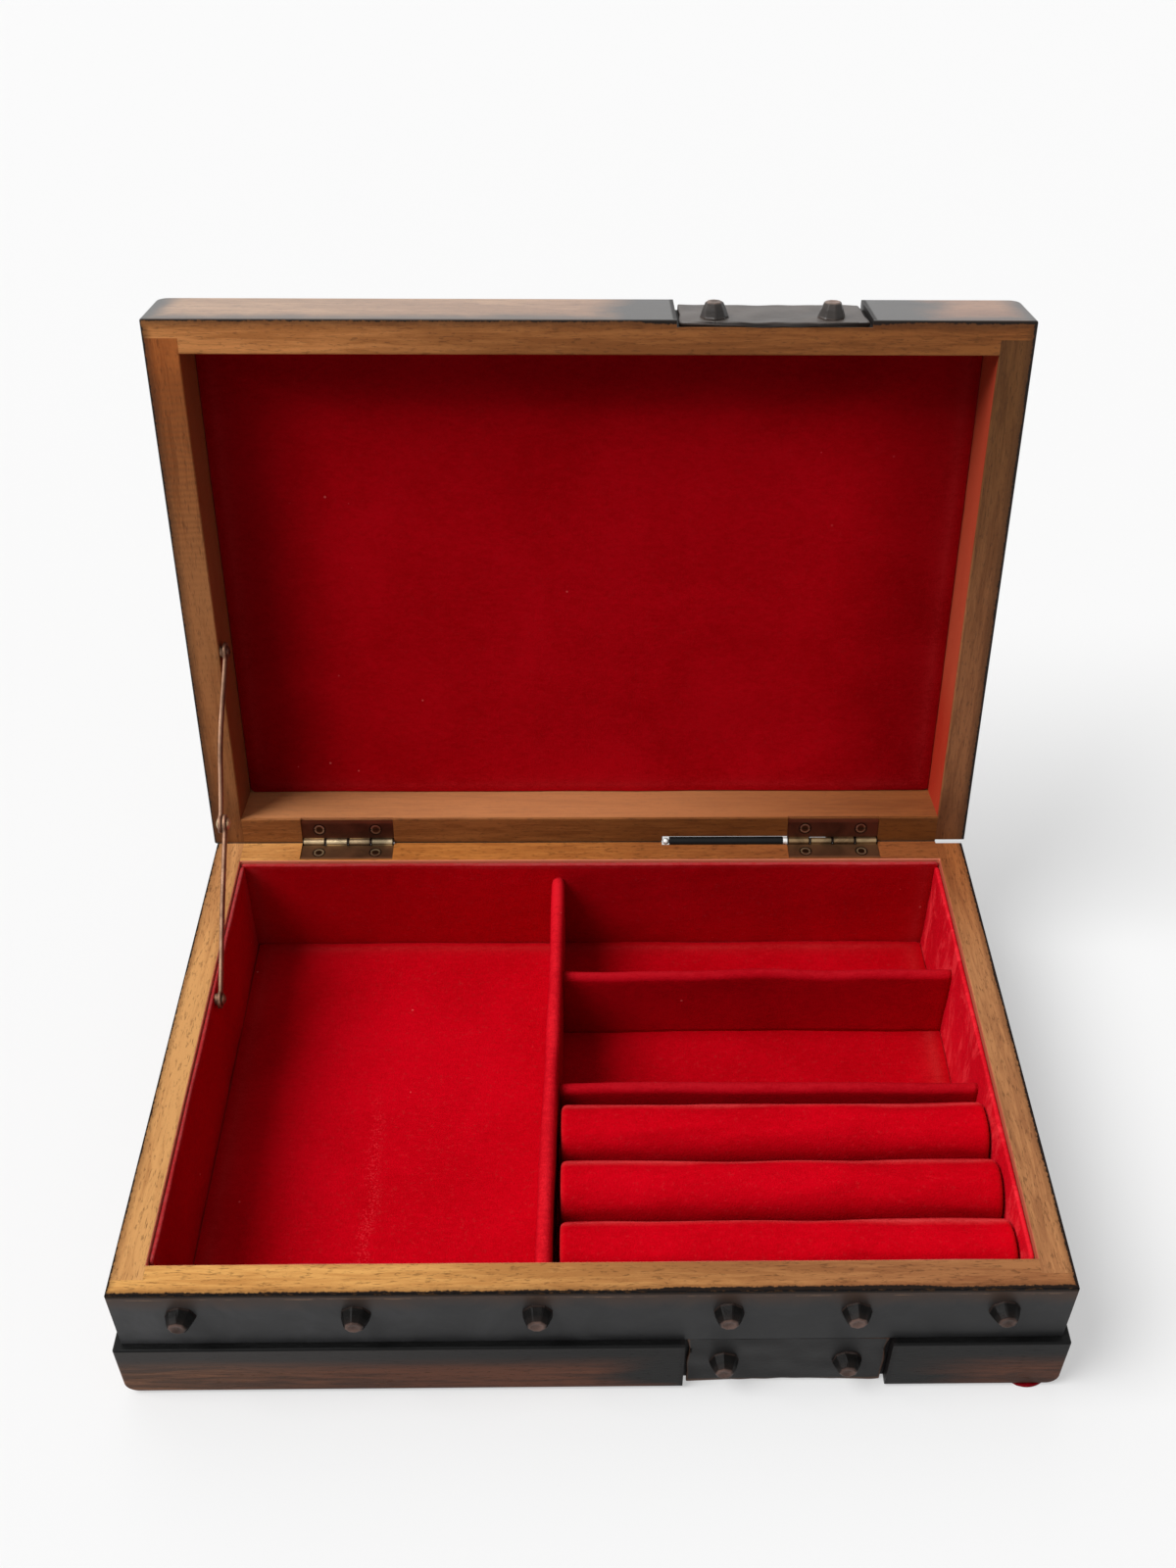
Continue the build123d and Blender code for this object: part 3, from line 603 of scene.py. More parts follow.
def pile(place):
    """Velvet: clouds where the nap lies another way, short brushed streaks, pile that stands up in
    fine specks, and lint."""
    clouds = noise(place, 24, 3, 0.5, 0.6)
    brushed = noise(place, (300, 700, 700), 3, 0.7, 0.4)
    fine = noise(place, 1600, 2, 0.75)
    specks = ramp(noise(place, (620, 780, 780), 3, 0.7), 0.55, 0.72)
    streaks = ramp(noise(place, (55, 85, 42), 8, 0.76, 0.7), 0.47, 0.61)
    spots = put("TexVoronoi", {"Vector": stretched(place, 105), "Scale": 1.0}, feature="F1")
    lint = ramp(out(spots, "Distance"), 0.060, 0.034) * ramp(noise(place, 31, 1, 0.4), 0.55, 0.62)
    return clouds * 0.36 + brushed * 0.34 + fine * 0.30, lint, specks, streaks, fine


def metal_face(place):
    """Old metal: soft patches, fine scratches along x and a beaten surface."""
    patches = noise(place, 70, 5, 0.6, 0.5)
    scratches = ramp(noise(place, (60, 1800, 1800), 3, 0.6), 0.60, 0.78)
    return patches, scratches, noise(place, 170, 3, 0.5) * 0.8 + noise(place, 1600, 2, 0.6) * 0.2


wood_group = group("wood figure", wood_figure, ["Figure", "Streaks", "Pores", "Height"])
burn_group = group(
    "burnt edge", burn, ["Line", "Haze", "Inside", "Groove"],
    half_width=0.14, half_depth=0.096, middle=0.0, haze_width=0.003,
)
pile_group = group("velvet pile", pile, ["Shade", "Lint", "Specks", "Streaks", "Height"])
metal_group = group("old metal", metal_face, ["Patches", "Scratches", "Height"])


# Materials


def material(name):
    """An empty material with its shader, and the place of each point in the model's frame."""
    made = bpy.data.materials.new(name)
    made.use_nodes = True
    tree = made.node_tree
    return made, tree.nodes["Principled BSDF"], out(put("TexCoord", tree=tree), "Object")


def bump(shader, height, strength, length):
    """Feeds a height to the shader's normal."""
    feed(shader, {"Normal": out(put("Bump", {"Strength": strength, "Distance": length, "Height": height}))})


def edge_value(place):
    """The value per point that a piece carries as "edge". It is 0 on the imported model's own nodes."""
    return out(put("Attribute", tree=place.tree, attribute_name="edge"), "Fac")


def shut_place(place):
    """The place of a point of the lid as if the lid were shut."""
    c, s = math.cos(OPEN), math.sin(OPEN)
    move = (0, PIN_Y - (c * PIN_Y - s * PIN_Z), PIN_Z - (s * PIN_Y + c * PIN_Z))
    return out(put("Mapping", {"Vector": place, "Rotation": (OPEN, 0, 0), "Location": move}))


def along_y(place):
    """Turns a place so that a grain along x runs along y."""
    return out(put("Mapping", {"Vector": place, "Rotation": (0, 0, math.pi / 2)}))


def times(colour, factor):
    """A colour made darker or lighter."""
    return tuple(c * factor for c in colour)


def screw_distance(x, y):
    """How far a point of a hinge lies from the axis of the nearest screw."""
    return distance(abs(abs(x) - HINGE_X) - SCREW_X, y - SCREW_Y)


def grained(light, dark, marks, depth):
    """A wood colour from its two tones and the grain's marks."""
    tone = marks["Figure"] * 0.5 + marks["Streaks"] * 0.5
    return mix(marks["Pores"] * depth, mix(ramp(tone, 0.41, 0.60), light, dark), (0.035, 0.014, 0.006))


def base_wood(name, side):
    """Honey-stained wood, browner to the right and towards the hinges, with burnt outer edges. Below
    the bands its outer face is stained near black, and reddish brown lower down and away from the
    strap."""
    made, shader, place = material(name)
    x, y, z = parts(place)
    marks = use(wood_group, place=along_y(place) if side else place)
    drift = (marks["Figure"] - 0.5) * 0.08
    toward = ramp(x + drift, -0.10, 0.11)
    if side:
        light = mix(toward, (0.58, 0.295, 0.105), (0.420, 0.190, 0.075))
        dark = mix(toward, (0.43, 0.200, 0.068), (0.280, 0.115, 0.046))
    else:
        light = mix(toward, (0.66, 0.340, 0.100), (0.330, 0.138, 0.052))
        dark = mix(toward, (0.49, 0.225, 0.060), (0.220, 0.080, 0.030))
    inner = grained(light, dark, marks, 0.60)
    back = mix(ramp(x, -0.128, -0.085), (0.98, 0.92, 0.95), (0.76, 0.54, 0.38))
    inner = mix(ramp(y, 0.020, 0.090), inner, back, "MULTIPLY")
    edge = use(burn_group, place=place)

    # Above the linings the walls' inner faces are painted pink red as painted light: pale on the left and
    # back walls, which lie in shade, and darker on the lit right wall.
    wall = ramp(edge["Inside"], 0.00965, 0.00990)
    red = mix(ramp(x, 0.10, 0.12), (0.95, 0.280, 0.190), (0.40, 0.090, 0.055))
    red = mix(ramp(y, 0.0850, 0.0858), red, (0.78, 0.250, 0.150))
    inner = mix(wall * 0.85, inner, red)

    # The outer faces' stain, with a black ledge under the bands.
    low = ramp(z + marks["Figure"] * 0.006, 0.0225, 0.0125)
    clear = low * ramp(abs(x + drift - STRAP_MIDDLE), 0.040, 0.068)
    black = mix(ramp(x, -0.12, 0.02), (0.043, 0.038, 0.036), (0.011, 0.0105, 0.010))
    stain = grained((0.150, 0.050, 0.024), (0.055, 0.020, 0.011), marks, 0.6)
    stain = mix(ramp(x, -0.05, -0.15), stain, (1.70, 2.20, 2.30), "MULTIPLY")
    stain = mix(clear, black, stain)
    stain = mix(ramp(z, 0.0231, 0.0236), stain, (0.003, 0.003, 0.003))

    # The lip above the bands is blacker and chipped along its top.
    chips = ramp(noise(place, (420, 420, 900), 4, 0.7), 0.52, 0.62)
    lip = mix(chips, (0.003, 0.002, 0.002), (0.050, 0.024, 0.010))
    lip = mix(ramp(z + chips * 0.0003, 0.0493, 0.0489), lip, (0.038, 0.028, 0.023))
    above = ramp(z, 0.0483, 0.0486)
    stain = mix(above, stain, lip)

    # The foot's rounded edges lie deeper under the outer faces, and are stained as they are.
    foot = ramp(z, 0.0050, 0.0042)
    skin = most(ramp(edge["Inside"], 0.00030, 0.00015), foot)
    colour = mix(edge["Haze"] * 0.55, inner, (0.09, 0.036, 0.013))
    colour = mix(most(edge["Line"], foot), colour, mix(skin, (0.012, 0.007, 0.005), stain))
    # Painted shade: the walls of the groove that the strap lies in are painted near black.
    colour = mix(edge["Groove"] * ramp(z, 0.0250, 0.0243), colour, (0.006, 0.005, 0.005))
    gloss = 0.56 - skin * 0.10 + above * 0.35 + marks["Pores"] * 0.15
    feed(shader, {"Base Color": colour, "Roughness": gloss, "Specular IOR Level": 0.12})
    bump(shader, marks["Height"], 0.25, 0.0003)
    return made


def lid_wood(name, side):
    """The lid's wood: brown rims and inner faces, lighter to the left, with a fine cross ripple on
    the left rail, burnt outer edges, and tan outer faces that are scorched beside the strap and
    along the rim. The inner faces of the side rails are painted red: painted light bounced from the
    velvet beside them."""
    made, shader, place = material(name)
    shut = shut_place(place)
    x, y, z = parts(shut)
    marks = use(wood_group, place=along_y(shut) if side else shut)
    toward = ramp(x, -0.14, 0.14)
    light = mix(toward, (0.52, 0.210, 0.064), (0.32, 0.112, 0.028))
    dark = mix(toward, (0.34, 0.122, 0.032), (0.20, 0.064, 0.015))
    inner = grained(light, dark, marks, 0.5)
    rim = ramp(z, 0.0517, 0.0507)
    hind = ramp(y, 0.060, 0.090) * rim
    inner = mix(hind, inner, (0.66, 0.60, 0.55), "MULTIPLY")
    fore = ramp(y, -0.075, -0.086) * rim * ramp(x, -0.04, -0.10)
    inner = mix(fore, inner, (1.40, 1.45, 1.50), "MULTIPLY")
    edge = use(
        burn_group, place=shut, half_width=0.1411, half_depth=0.0967, middle=-0.0004, haze_width=0.0040
    )
    wall = ramp(edge["Inside"], 0.0090, 0.0096) * ramp(z, 0.0507, 0.0517)
    if side:
        left = mix(ramp(y, -0.085, 0.0), (0.66, 0.46, 0.32), (0.78, 0.78, 0.85))
        right = mix(ramp(y, -0.085, 0.050), (0.55, 0.65, 0.80), (1.0, 1.15, 1.80))
        across = ramp(x, -0.1, 0.1)
        inner = mix(1.0, inner, mix(across, left, right), "MULTIPLY")
        phase = y * (FULL_TURN / 0.0022) + noise(shut, (60, 90, 60), 2, 0.5) * 14.0
        wave = phase.do("SINE") * 0.5 + 0.5
        share = ramp(x, -0.125, -0.131) * ramp(abs(y + 0.045), 0.045, 0.010, 0.10, 0.42)
        inner = mix(wave * share, inner, (0.20, 0.075, 0.022))
        # Painted light: the inner faces above the lining take a painted red bounce from the velvet,
        # brighter on the right rail than on the left.
        glow = mix(ramp(y, 0.025, 0.055), (0.47, 0.050, 0.024), (0.46, 0.012, 0.006))
        inner = mix(wall * 0.75, inner, mix(across, (0.24, 0.052, 0.018), glow))
    else:
        far = mix(ramp(x, -0.02, 0.135), (0.60, 0.265, 0.120), (0.20, 0.060, 0.022))
        inner = mix(wall * ramp(y, 0.0, 0.05, 0.0, 0.5), inner, far)
        inner = mix(hind * toward, inner, (0.78, 0.76, 0.62), "MULTIPLY")

    # The outer faces, scorched beside the strap, along the rim and at the ends.
    shake = (noise(shut, 38, 4, 0.55, 0.6) - 0.5) * 0.030
    near = abs(x - STRAP_MIDDLE)
    strap_burn = ramp(near + shake, 0.063, 0.045)
    rim_burn = ramp(z + shake * 0.35, 0.0590, 0.0512) * 0.85
    end_burn = ramp(0.1411 - abs(x) + shake * 0.4, 0.010, 0.0)
    tan = mix(
        toward, grained((0.45, 0.262, 0.145), (0.30, 0.160, 0.082), marks, 0.5),
        grained((0.29, 0.138, 0.068), (0.19, 0.080, 0.037), marks, 0.5),
    )
    outer = mix(most(most(strap_burn, rim_burn), end_burn), tan, (0.020, 0.017, 0.015))
    over = ramp(z, 0.0722, 0.0730)
    skin = most(ramp(edge["Inside"], 0.00030, 0.00015), over)
    colour = mix(edge["Haze"] * 0.75, inner, (0.070, 0.028, 0.011))
    colour = mix(most(edge["Line"], over), colour, mix(skin, (0.010, 0.006, 0.004), outer))
    # Painted shade: the strap's groove beside it and its bed on the top are painted near black.
    top = ramp(near, 0.0326, 0.0318) * ramp(z, 0.0738, 0.0744)
    slot = most(edge["Groove"], top) * ramp(z, 0.0508, 0.0514)
    colour = mix(slot, colour, (0.010, 0.008, 0.007))
    feed(shader, {
        "Base Color": colour, "Roughness": 0.55 - skin * 0.12, "Specular IOR Level": 0.18,
        "Coat Weight": skin * (1.0 - slot) * 0.65, "Coat Roughness": 0.28, "Coat IOR": 1.5,
    })
    bump(shader, marks["Height"], 0.25, 0.0003)
    return made


def iron(name, colour, brown, gloss, beaten, shine=0.2, rust_and_sheen=False):
    """Black painted iron: patchy, scratched, and worn brown where a piece's edge value is high. Rusty
    iron is browner towards the case's rim, with a chipped line below it, and carries a painted sheen:
    darker to the right and lighter at its left end."""
    made, shader, place = material(name)
    face = use(metal_group, place=place)
    tone = mix(ramp(face["Patches"], 0.35, 0.68), colour, times(colour, 1.7))
    tone = mix(face["Scratches"] * 0.20, tone, (0.09, 0.086, 0.082))
    if rust_and_sheen:
        x, _, z = parts(place)
        # Painted sheen: darker to the right and lighter at the left end.
        tone = mix(ramp(x, -0.13, 0.08), tone, (0.55, 0.55, 0.55), "MULTIPLY")
        tone = mix(ramp(x, -0.110, -0.136), tone, (1.4, 1.4, 1.4), "MULTIPLY")
        lift = z + face["Patches"] * 0.010
        tone = mix(ramp(lift, 0.045, 0.054, 0.0, 0.70), tone, (0.072, 0.034, 0.018))
        chip = noise(place, (95, 95, 900), 4, 0.7)
        line = abs(z + chip * 0.0016 - 0.0481)
        chipped = ramp(line, 0.00030, 0.00010) * ramp(chip, 0.49, 0.58)
        tone = mix(chipped * 0.8, tone, (0.26, 0.150, 0.085))
    paled = edge_value(place) * ramp(face["Patches"], 0.30, 0.55, 0.35, 1.0)
    feed(shader, {
        "Base Color": mix(paled, tone, brown), "Roughness": face["Patches"] * 0.16 + gloss,
        "Specular IOR Level": shine,
    })
    bump(shader, face["Height"], beaten, 0.0006)
    return made


def velvet(name, deep, bright, crest, crushed=0.0, kind=""):
    """Velvet whose colour drifts with its nap. Specks and, where the pile is crushed, patches show paler,
    and crests and cut edges are painted paler as a painted sheen. A lid's lining is darker towards its
    sides and front and rolls are darker low down, both painted shade, and a floor has a scuffed line
    on its left and is a little darker on its right."""
    made, shader, place = material(name)
    nap = use(pile_group, place=place)
    colour = mix(ramp(nap["Shade"], 0.34, 0.64), deep, bright)
    x, y, z = parts(shut_place(place) if kind == "lid" else place)
    # Painted shade where the lid's rails shade its lining: darker towards its sides and front.
    if kind == "lid":
        painted_shade = most(ramp(abs(x), 0.080, 0.124), ramp(y, -0.058, -0.076))
        colour = mix(painted_shade, colour, (0.62, 0.62, 0.62), "MULTIPLY")
    # Painted shade: rolls are darker low down.
    if kind == "roll":
        colour = mix(ramp(z, 0.0425, 0.0350), colour, (0.66, 0.66, 0.66), "MULTIPLY")
    if kind == "floor":
        colour = mix(ramp(x, -0.02, 0.02), colour, (0.86, 0.86, 0.80), "MULTIPLY")
        off = abs(x + (nap["Shade"] - 0.5) * 0.030 + 0.0735)
        scuff = ramp(off, 0.0030, 0.0004) * ramp(y, 0.020, -0.015) * ramp(nap["Height"], 0.50, 0.66)
        colour = mix(scuff * 0.30, colour, (0.85, 0.060, 0.075))
    # Crests and cut edges are painted paler as a painted sheen, less so on crushed velvet.
    worn = 0.30 if crushed else 0.80
    paled = edge_value(place) * ramp(nap["Shade"], 0.42, 0.56, 0.44 * worn, worn)
    laid = nap["Specks"] * (0.06 if kind == "roll" else 0.14) + nap["Streaks"] * crushed
    colour = mix(most(paled, laid), colour, crest)
    colour = mix(nap["Lint"] * 0.40, colour, (0.85, 0.20, 0.18))
    feed(shader, {
        "Base Color": colour, "Roughness": 1.0, "Specular IOR Level": 0.0, "Sheen Weight": 0.14,
        "Sheen Roughness": 0.30, "Sheen Tint": (1.0, 0.06, 0.08),
    })
    bump(shader, nap["Height"], 0.5, 0.0005)
    return made


def hinge_metal(name, colour, knuckle, lid):
    """Dulled bronze with bright knuckles: a point within the knuckles' radius of the pins is rubbed."""
    made, shader, place = material(name)
    where = shut_place(place) if lid else place
    x, y, z = parts(where)
    face = use(metal_group, place=where)
    bright = ramp(distance(y - PIN_Y, z - PIN_Z), 0.00170, 0.00138)
    tone = mix(ramp(face["Patches"], 0.35, 0.65), colour, times(colour, 0.55))
    paled = mix(ramp(face["Patches"], 0.40, 0.62), knuckle, times(knuckle, 0.35))

    # The ends of the knuckles are painted dark, painted shade in the gaps between them, and the right hinge
    # is duller.
    count = (abs(x) - KNUCKLE_START) / KNUCKLE
    paled = mix(ramp(abs(count - count.do("ROUND")), 0.09, 0.03), paled, (0.020, 0.012, 0.008))
    paled = mix(ramp(x, -0.01, 0.01), paled, (0.50, 0.44, 0.38), "MULTIPLY")

    # A leaf is rubbed along its free edge, and dirt lies round its screws.
    tone = mix(ramp(y, 0.0885, 0.0878, 0.0, 0.45), tone, times(colour, 2.2))
    tone = mix(ramp(screw_distance(x, y), 0.0027, 0.0021), tone, (0.014, 0.007, 0.004))
    feed(shader, {
        "Base Color": mix(bright, tone, paled), "Roughness": 0.42 - bright * 0.10, "Metallic": 0.85
    })
    bump(shader, face["Height"], 0.12, 0.0004)
    return made


def metal(name, colour, dull, rough, metallic=1.0, screws_of=""):
    """Worn metal or glossy plastic in two tones. The heads of the screws of the lid or of the base
    are bright round their rims and dark within."""
    made, shader, place = material(name)
    face = use(metal_group, place=place)
    tone = mix(ramp(face["Patches"], 0.35, 0.68), colour, dull)
    if screws_of:
        x, y, _ = parts(shut_place(place) if screws_of == "lid" else place)
        tone = mix(ramp(screw_distance(x, y), 0.0015, 0.0011), tone, (0.085, 0.045, 0.024))
    feed(shader, {"Base Color": tone, "Roughness": face["Scratches"] * 0.2 + rough, "Metallic": metallic})
    bump(shader, face["Height"], 0.08, 0.0003)
    return made


wood_long = base_wood("honey wood, along x", False)
wood_side = base_wood("honey wood, along y", True)
lid_long = lid_wood("lid wood, along x", False)
lid_side = lid_wood("lid wood, along y", True)
band_iron = iron("band iron", (0.030, 0.030, 0.031), (0.09, 0.05, 0.03), 0.40, 0.12, rust_and_sheen=True)
strap_iron = iron("strap iron", (0.0088, 0.0082, 0.0082), (0.15, 0.075, 0.045), 0.42, 0.35)
lid_strap_iron = iron("lid strap iron", (0.056, 0.047, 0.042), (0.022, 0.012, 0.008), 0.38, 0.45, 0.45)
stud_iron = iron("stud iron", (0.0030, 0.0026, 0.0024), (0.19, 0.120, 0.100), 0.36, 0.45, 0.07)
lid_stud_iron = iron("lid stud iron", (0.022, 0.018, 0.016), (0.22, 0.150, 0.120), 0.30, 0.45, 0.30)
nap_deep, nap_bright = (0.40, 0.0006, 0.0045), (0.53, 0.0010, 0.0080)
lining_velvet = velvet("red velvet, linings", nap_deep, nap_bright, (0.36, 0.070, 0.068))
floor_velvet = velvet("red velvet, floor", nap_deep, nap_bright, (0.40, 0.045, 0.040), kind="floor")
divider_velvet = velvet(
    "red velvet, dividers", (0.30, 0.0005, 0.0040), (0.44, 0.0008, 0.0070), (0.42, 0.008, 0.015)
)
# The rolls' pale crest colour is a painted sheen along the back of their crowns and at their ends.
roll_velvet = velvet(
    "red velvet, rolls", (0.42, 0.0006, 0.0045), (0.55, 0.0010, 0.0080), (0.78, 0.095, 0.095), kind="roll"
)
# Painted shade: the lid's velvet is darker than the linings', and darker still towards its sides and front.
lid_velvet = velvet(
    "red velvet, lid", (0.35, 0.0006, 0.0035), (0.50, 0.0020, 0.0080), (0.42, 0.030, 0.030), kind="lid"
)
# The right lining: crushed streaks, and a colour paler than the other linings that is painted light on this
# lit wall.
crushed_painted_lit_velvet = velvet(
    "red velvet, crushed, painted lit", (0.45, 0.0014, 0.0075), (0.60, 0.0028, 0.0130), (0.82, 0.040, 0.052), 0.58
)
# Painted highlight: the centre divider's crest is paler than the cross dividers', on its lit top.
centre_velvet = velvet(
    "red velvet, centre divider", (0.34, 0.0006, 0.0045), (0.50, 0.0010, 0.0080), (0.70, 0.014, 0.024)
)
felt_cloth = velvet("dark red felt", (0.10, 0.001, 0.003), (0.19, 0.002, 0.006), (0.30, 0.01, 0.015))
leaf_lid = hinge_metal("bronze, lid leaf", (0.110, 0.036, 0.018), (0.52, 0.38, 0.22), True)
leaf_base = hinge_metal("bronze, base leaf", (0.19, 0.095, 0.045), (0.62, 0.48, 0.29), False)
lid_screw = metal("bronze, lid screws", (0.50, 0.36, 0.24), (0.26, 0.17, 0.10), 0.36, screws_of="lid")
base_screw = metal("bronze, base screws", (0.60, 0.52, 0.34), (0.36, 0.29, 0.17), 0.36, screws_of="base")
brass = metal("worn brass", (0.32, 0.180, 0.115), (0.13, 0.066, 0.040), 0.50, 0.85)
rivet_brass = metal("rivet brass", (0.62, 0.47, 0.26), (0.34, 0.23, 0.11), 0.48, 0.6)
dark_screw = metal("dark screw", (0.14, 0.060, 0.036), (0.07, 0.030, 0.018), 0.45, 0.7)
sleeve_black = metal("black sleeve", (0.0020, 0.0020, 0.0021), (0.0045, 0.0045, 0.0047), 0.55, 0.0)
feed(sleeve_black.node_tree.nodes["Principled BSDF"], {"Specular IOR Level": 0.16})
bright_steel = metal("bright steel", (0.88, 0.88, 0.86), (0.66, 0.65, 0.63), 0.42, 0.6)

finishes = {
    wood_long: ("front_wall", "back_wall", "bottom_board"),
    wood_side: ("left_wall", "right_wall"),
    lid_long: ("lid_front_rail", "lid_back_rail", "lid_top_board"),
    lid_side: ("lid_left_rail", "lid_right_rail"),
    band_iron: ("front_band", "back_band", "left_band", "right_band"),
    leaf_lid: ("left_hinge_lid_leaf", "right_hinge_lid_leaf"),
    leaf_base: ("left_hinge_base_leaf", "right_hinge_base_leaf"),
    base_screw: ("base_hinge_screws",),
    lid_screw: ("lid_hinge_screws",),
    brass: ("stay_base_screw", "stay_base_spacer", "stay_lid_spacer"),
    rivet_brass: ("elbow_rivet_head", "elbow_rivet_tail"),
    dark_screw: ("stay_lid_screw", "left_hinge_pin", "right_hinge_pin"),
    sleeve_black: ("rod_sleeve",),
    bright_steel: ("rod_collar", "rod_end_ball"),
}
for finish, names in finishes.items():
    for name in names:
        node_objects[name].data.materials.clear()
        node_objects[name].data.materials.append(finish)


# Velvet

linings = {
    "front_lining": (0, 1, 0),
    "back_lining": (0, -1, 0),
    "left_lining": (1, 0, 0),
    "right_lining": (-1, 0, 0),
    "floor_lining": (0, 0, 1),
}
for k, (node, across) in enumerate(linings.items()):
    cloth = {"right_lining": crushed_painted_lit_velvet, "floor_lining": floor_velvet}.get(node, lining_velvet)
    taller = 0.0012 if node in ("left_lining", "back_lining") else 0.0
    made = lining(node, across, "base", cloth, 11 + 3 * k, taller)
    size = sorted(np.array(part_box(node)[1]) - np.array(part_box(node)[0]) + (0, 0, taller))
    board = node.replace("lining", "wall") if node != "floor_lining" else "bottom_board"
lid_lining_box = ((-0.1299, -0.0859, 0.0701), (0.1299, 0.0859, 0.0714))
made = lining("lid_lining", (0, 0, -1), "lid", lid_velvet, 31, shut_box=lid_lining_box)

divider("centre_divider", 1, "base", centre_velvet, 4, lean=0.0026)
divider("rear_cross_divider", 0, "base", divider_velvet, 5)
divider("front_cross_divider", 0, "base", divider_velvet, 6)
for k, node in enumerate(("ring_roll_front", "ring_roll_middle", "ring_roll_rear")):
    ring_roll(node, roll_velvet, 41 + k)


# Felt, with its loose corner


def felt_outline(count):
    """A rectangle whose front right corner is pushed out into a round lobe: every point inside the
    lobe's circle, seen from the middle, moves out to that circle."""
    line = rounded_outline(0.135, 0.091, 0.002, count)
    lobe, radius = np.array([0.133, -0.0912]), 0.008
    way = line / np.linalg.norm(line, axis=1, keepdims=True)
    near = way @ lobe
    miss = np.linalg.norm(lobe[None] - near[:, None] * way, axis=1)
    reach = near + np.sqrt(np.clip(radius**2 - miss**2, 0, None))
    wide = np.where(miss < radius, reach, 0)
    return way * np.maximum(np.linalg.norm(line, axis=1), wide)[:, None]


grid, rim, _ = pad_rings(felt_outline(900), 0.001, 0.0003, 0.0, 20)
grid[..., 2] = np.clip(grid[..., 2], 0.0, 0.001)
felt = piece(
    "underside_felt_cloth", with_ends(grid), turned_over(tube_faces(*grid.shape[:2])),
    felt_cloth, "base", with_ends(rim[..., None]),
)
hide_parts("underside_felt")


# Studs

STUD_TURN = math.radians(11)
FRONT, UP, BACK = (0, -1, 0), (0, 0, 1), (0, 1, 0)


def front_row(across, z):
    """Places for a row of studs on the front face."""
    return [((x, FRONT_Y, z), FRONT, UP, STUD_TURN * k) for k, x in enumerate(across)]


band_stud_x = np.array([-120, -69.3, -16.5, 39.3, 76.7, 120]) * MM
studs("band_studs", front_row(band_stud_x, 0.0390), "base", stud_iron, 51)
studs("base_strap_studs", front_row(STRAP_STUD_X, 0.0121), "base", stud_iron, 61)
on_top = [(x, y, 0.0763) for y in np.linspace(-0.070, 0.070, 4) for x in STRAP_STUD_X]
lid_places = [(spot, UP, BACK, STUD_TURN * (k + 2)) for k, spot in enumerate(on_top)]
studs("lid_studs", front_row(STRAP_STUD_X, 0.0584) + lid_places, "lid", lid_stud_iron, 71)


# Straps


def corner(centre, radius, start, end):
    """A quarter circle and its outward normals in the yz plane."""
    turn = np.linspace(start, end, 12)
    way = np.stack([np.cos(turn), np.sin(turn)], axis=-1)
    return np.array(centre) + radius * way, way


def straight(start, end, normal, count):
    """A run of points with one normal."""
    points = np.linspace(start, end, count)
    return points, np.broadcast_to(np.array(normal, float), points.shape)


def lid_strap_path(front_y, back_y, foot, top, radius, back_foot):
    """The middle line of the lid's strap: up the front, over the top and down the back."""
    runs = [
        straight((front_y, foot), (front_y, top - radius), (-1, 0), 8),
        corner((front_y + radius, top - radius), radius, math.pi, math.pi / 2),
        straight((front_y + radius, top), (back_y - radius, top), (0, 1), 60),
        corner((back_y - radius, top - radius), radius, math.pi / 2, 0),
        straight((back_y, top - radius), (back_y, back_foot), (1, 0), 8),
    ]
    return [np.concatenate([run[i][(k > 0):] for k, run in enumerate(runs)]) for i in (0, 1)]


path, normals = lid_strap_path(-0.0954, 0.0951, 0.0510, 0.0757, 0.0019, 0.0535)
bow = [0.0006, 0.0001, -0.0004, -0.0001, 0.0008]
strap("lid_strap", path, normals, "lid", lid_strap_iron, bow, 81)
path, normals = straight((-0.0954, 0.0008), (-0.0954, 0.0239), (-1, 0), 12)
bow = [-0.0004, 0.0004, 0.0008, 0.0004, -0.0004]
strap("base_strap", path, normals, "base", strap_iron, bow, 91)


# Stay

elbow = (0.066052, 0.086158)
arm("stay_lower_arm", (0.0205, 0.0465), elbow, -0.1273, -0.1262, "stay_lower", brass, -0.0002)
arm("stay_upper_arm", (0.112215, 0.126049), elbow, -0.1288, -0.1277, "stay_upper", brass, -0.0009)


# Floor, lights and camera


def seen(tree):
    """1 for what the camera sees, straight or mirrored in something shiny, and 0 for the rest."""
    rays = put("LightPath", tree=tree)
    return most(out(rays, "Is Camera Ray"), out(rays, "Is Glossy Ray"))


def floor_plane():
    """A wide pale floor. To the camera it adds a little light of its own, so that it looks white,
    and it keeps the shadows that fall on it."""
    mesh = bpy.data.meshes.new("studio_floor")
    mesh.from_pydata([(-6, -4, 0), (6, -4, 0), (6, 9, 0), (-6, 9, 0)], [], [(0, 1, 2, 3)])
    made = bpy.data.objects.new("studio_floor", mesh)
    bpy.context.scene.collection.objects.link(made)
    paint, shader, place = material("studio floor")
    feed(shader, {"Base Color": (0.42, 0.42, 0.42), "Roughness": 0.9, "Specular IOR Level": 0.1})
    glow = put("Emission", {"Color": (1, 1, 1), "Strength": seen(place.tree) * 0.44})
    both = put("AddShader", {0: out(shader), 1: out(glow)})
    feed(place.tree.nodes["Material Output"], {"Surface": out(both)})
    mesh.materials.append(paint)


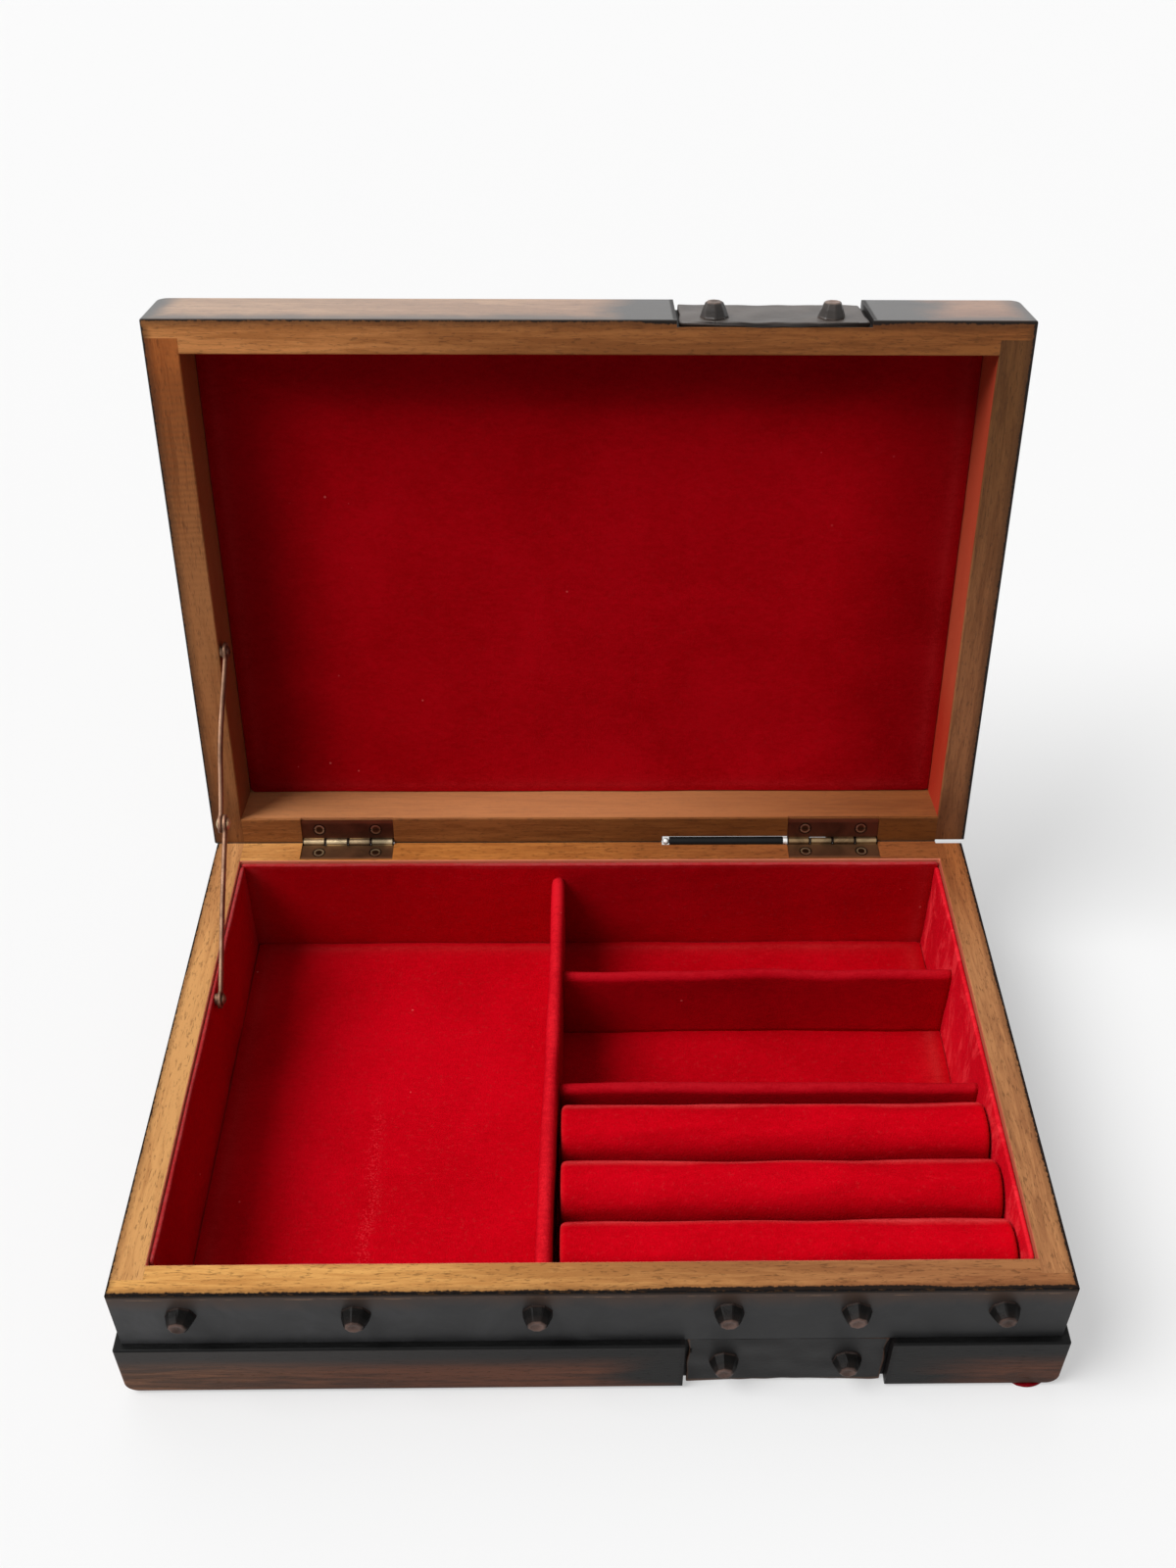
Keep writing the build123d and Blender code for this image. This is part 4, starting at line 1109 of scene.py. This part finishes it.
def far_light(name, toward, spread, strength):
    """A wide soft light so far away that it is even all over the floor. spread is the angle in
    degrees that it fills, seen from the box."""
    lamp = bpy.data.lights.new(name, "SUN")
    lamp.angle = math.radians(spread)
    lamp.energy = strength
    made = bpy.data.objects.new(name, lamp)
    bpy.context.scene.collection.objects.link(made)
    made.location = toward
    made.rotation_euler = (-Vector(toward)).to_track_quat("-Z", "Y").to_euler()


floor_plane()
far_light("key", (-2.2, -0.55, 2.8), 38, 3.30)
far_light("back", (-1.2, 1.9, 2.6), 60, 0.55)

# The surroundings give a little light, most of it from above, and look white in anything shiny.
world = bpy.data.worlds.new("studio")
bpy.context.scene.world = world
world.use_nodes = True
sky = world.node_tree
height = parts(out(put("TexCoord", tree=sky), "Generated"))[2]
fill = out(put("MapRange", {"Value": height, "To Min": 0.05, "To Max": 0.38}))
strength = out(put("MapRange", {"Value": seen(sky), "To Min": fill, "To Max": 0.95}))
feed(sky.nodes["Background"], {"Strength": strength, "Color": (1, 1, 1)})


def photo_camera(focal, place, yaw, pitch, roll, middle):
    """A camera from its focal length and picture middle in pixels of a 1200 by 1600 picture, its
    place, and its turns in degrees: to the right, down and about its own axis."""
    yaw, pitch, roll = (math.radians(v) for v in (yaw, pitch, roll))
    ahead = Vector((math.sin(yaw) * math.cos(pitch), math.cos(yaw) * math.cos(pitch), -math.sin(pitch)))
    right = Vector((math.cos(yaw), -math.sin(yaw), 0))
    up = right.cross(ahead)
    across = math.cos(roll) * right + math.sin(roll) * up
    upright = -math.sin(roll) * right + math.cos(roll) * up
    lens = bpy.data.cameras.new("camera")
    lens.sensor_width = 36
    lens.lens = focal * 36 / 1600
    lens.shift_x = (600 - middle[0]) / 1600
    lens.shift_y = (middle[1] - 800) / 1600
    lens.clip_start, lens.clip_end = 0.01, 50
    made = bpy.data.objects.new("camera", lens)
    bpy.context.scene.collection.objects.link(made)
    turned = Matrix((across, upright, -ahead)).transposed().to_4x4()
    made.matrix_world = Matrix.Translation(place) @ turned
    return made


bpy.context.scene.camera = photo_camera(
    1633.997, (-0.002879, -0.350512, 0.455121), 1.315, 41.535, 0.712, (623.14, 839.676)
)
bpy.context.scene.view_settings.view_transform = "Standard"
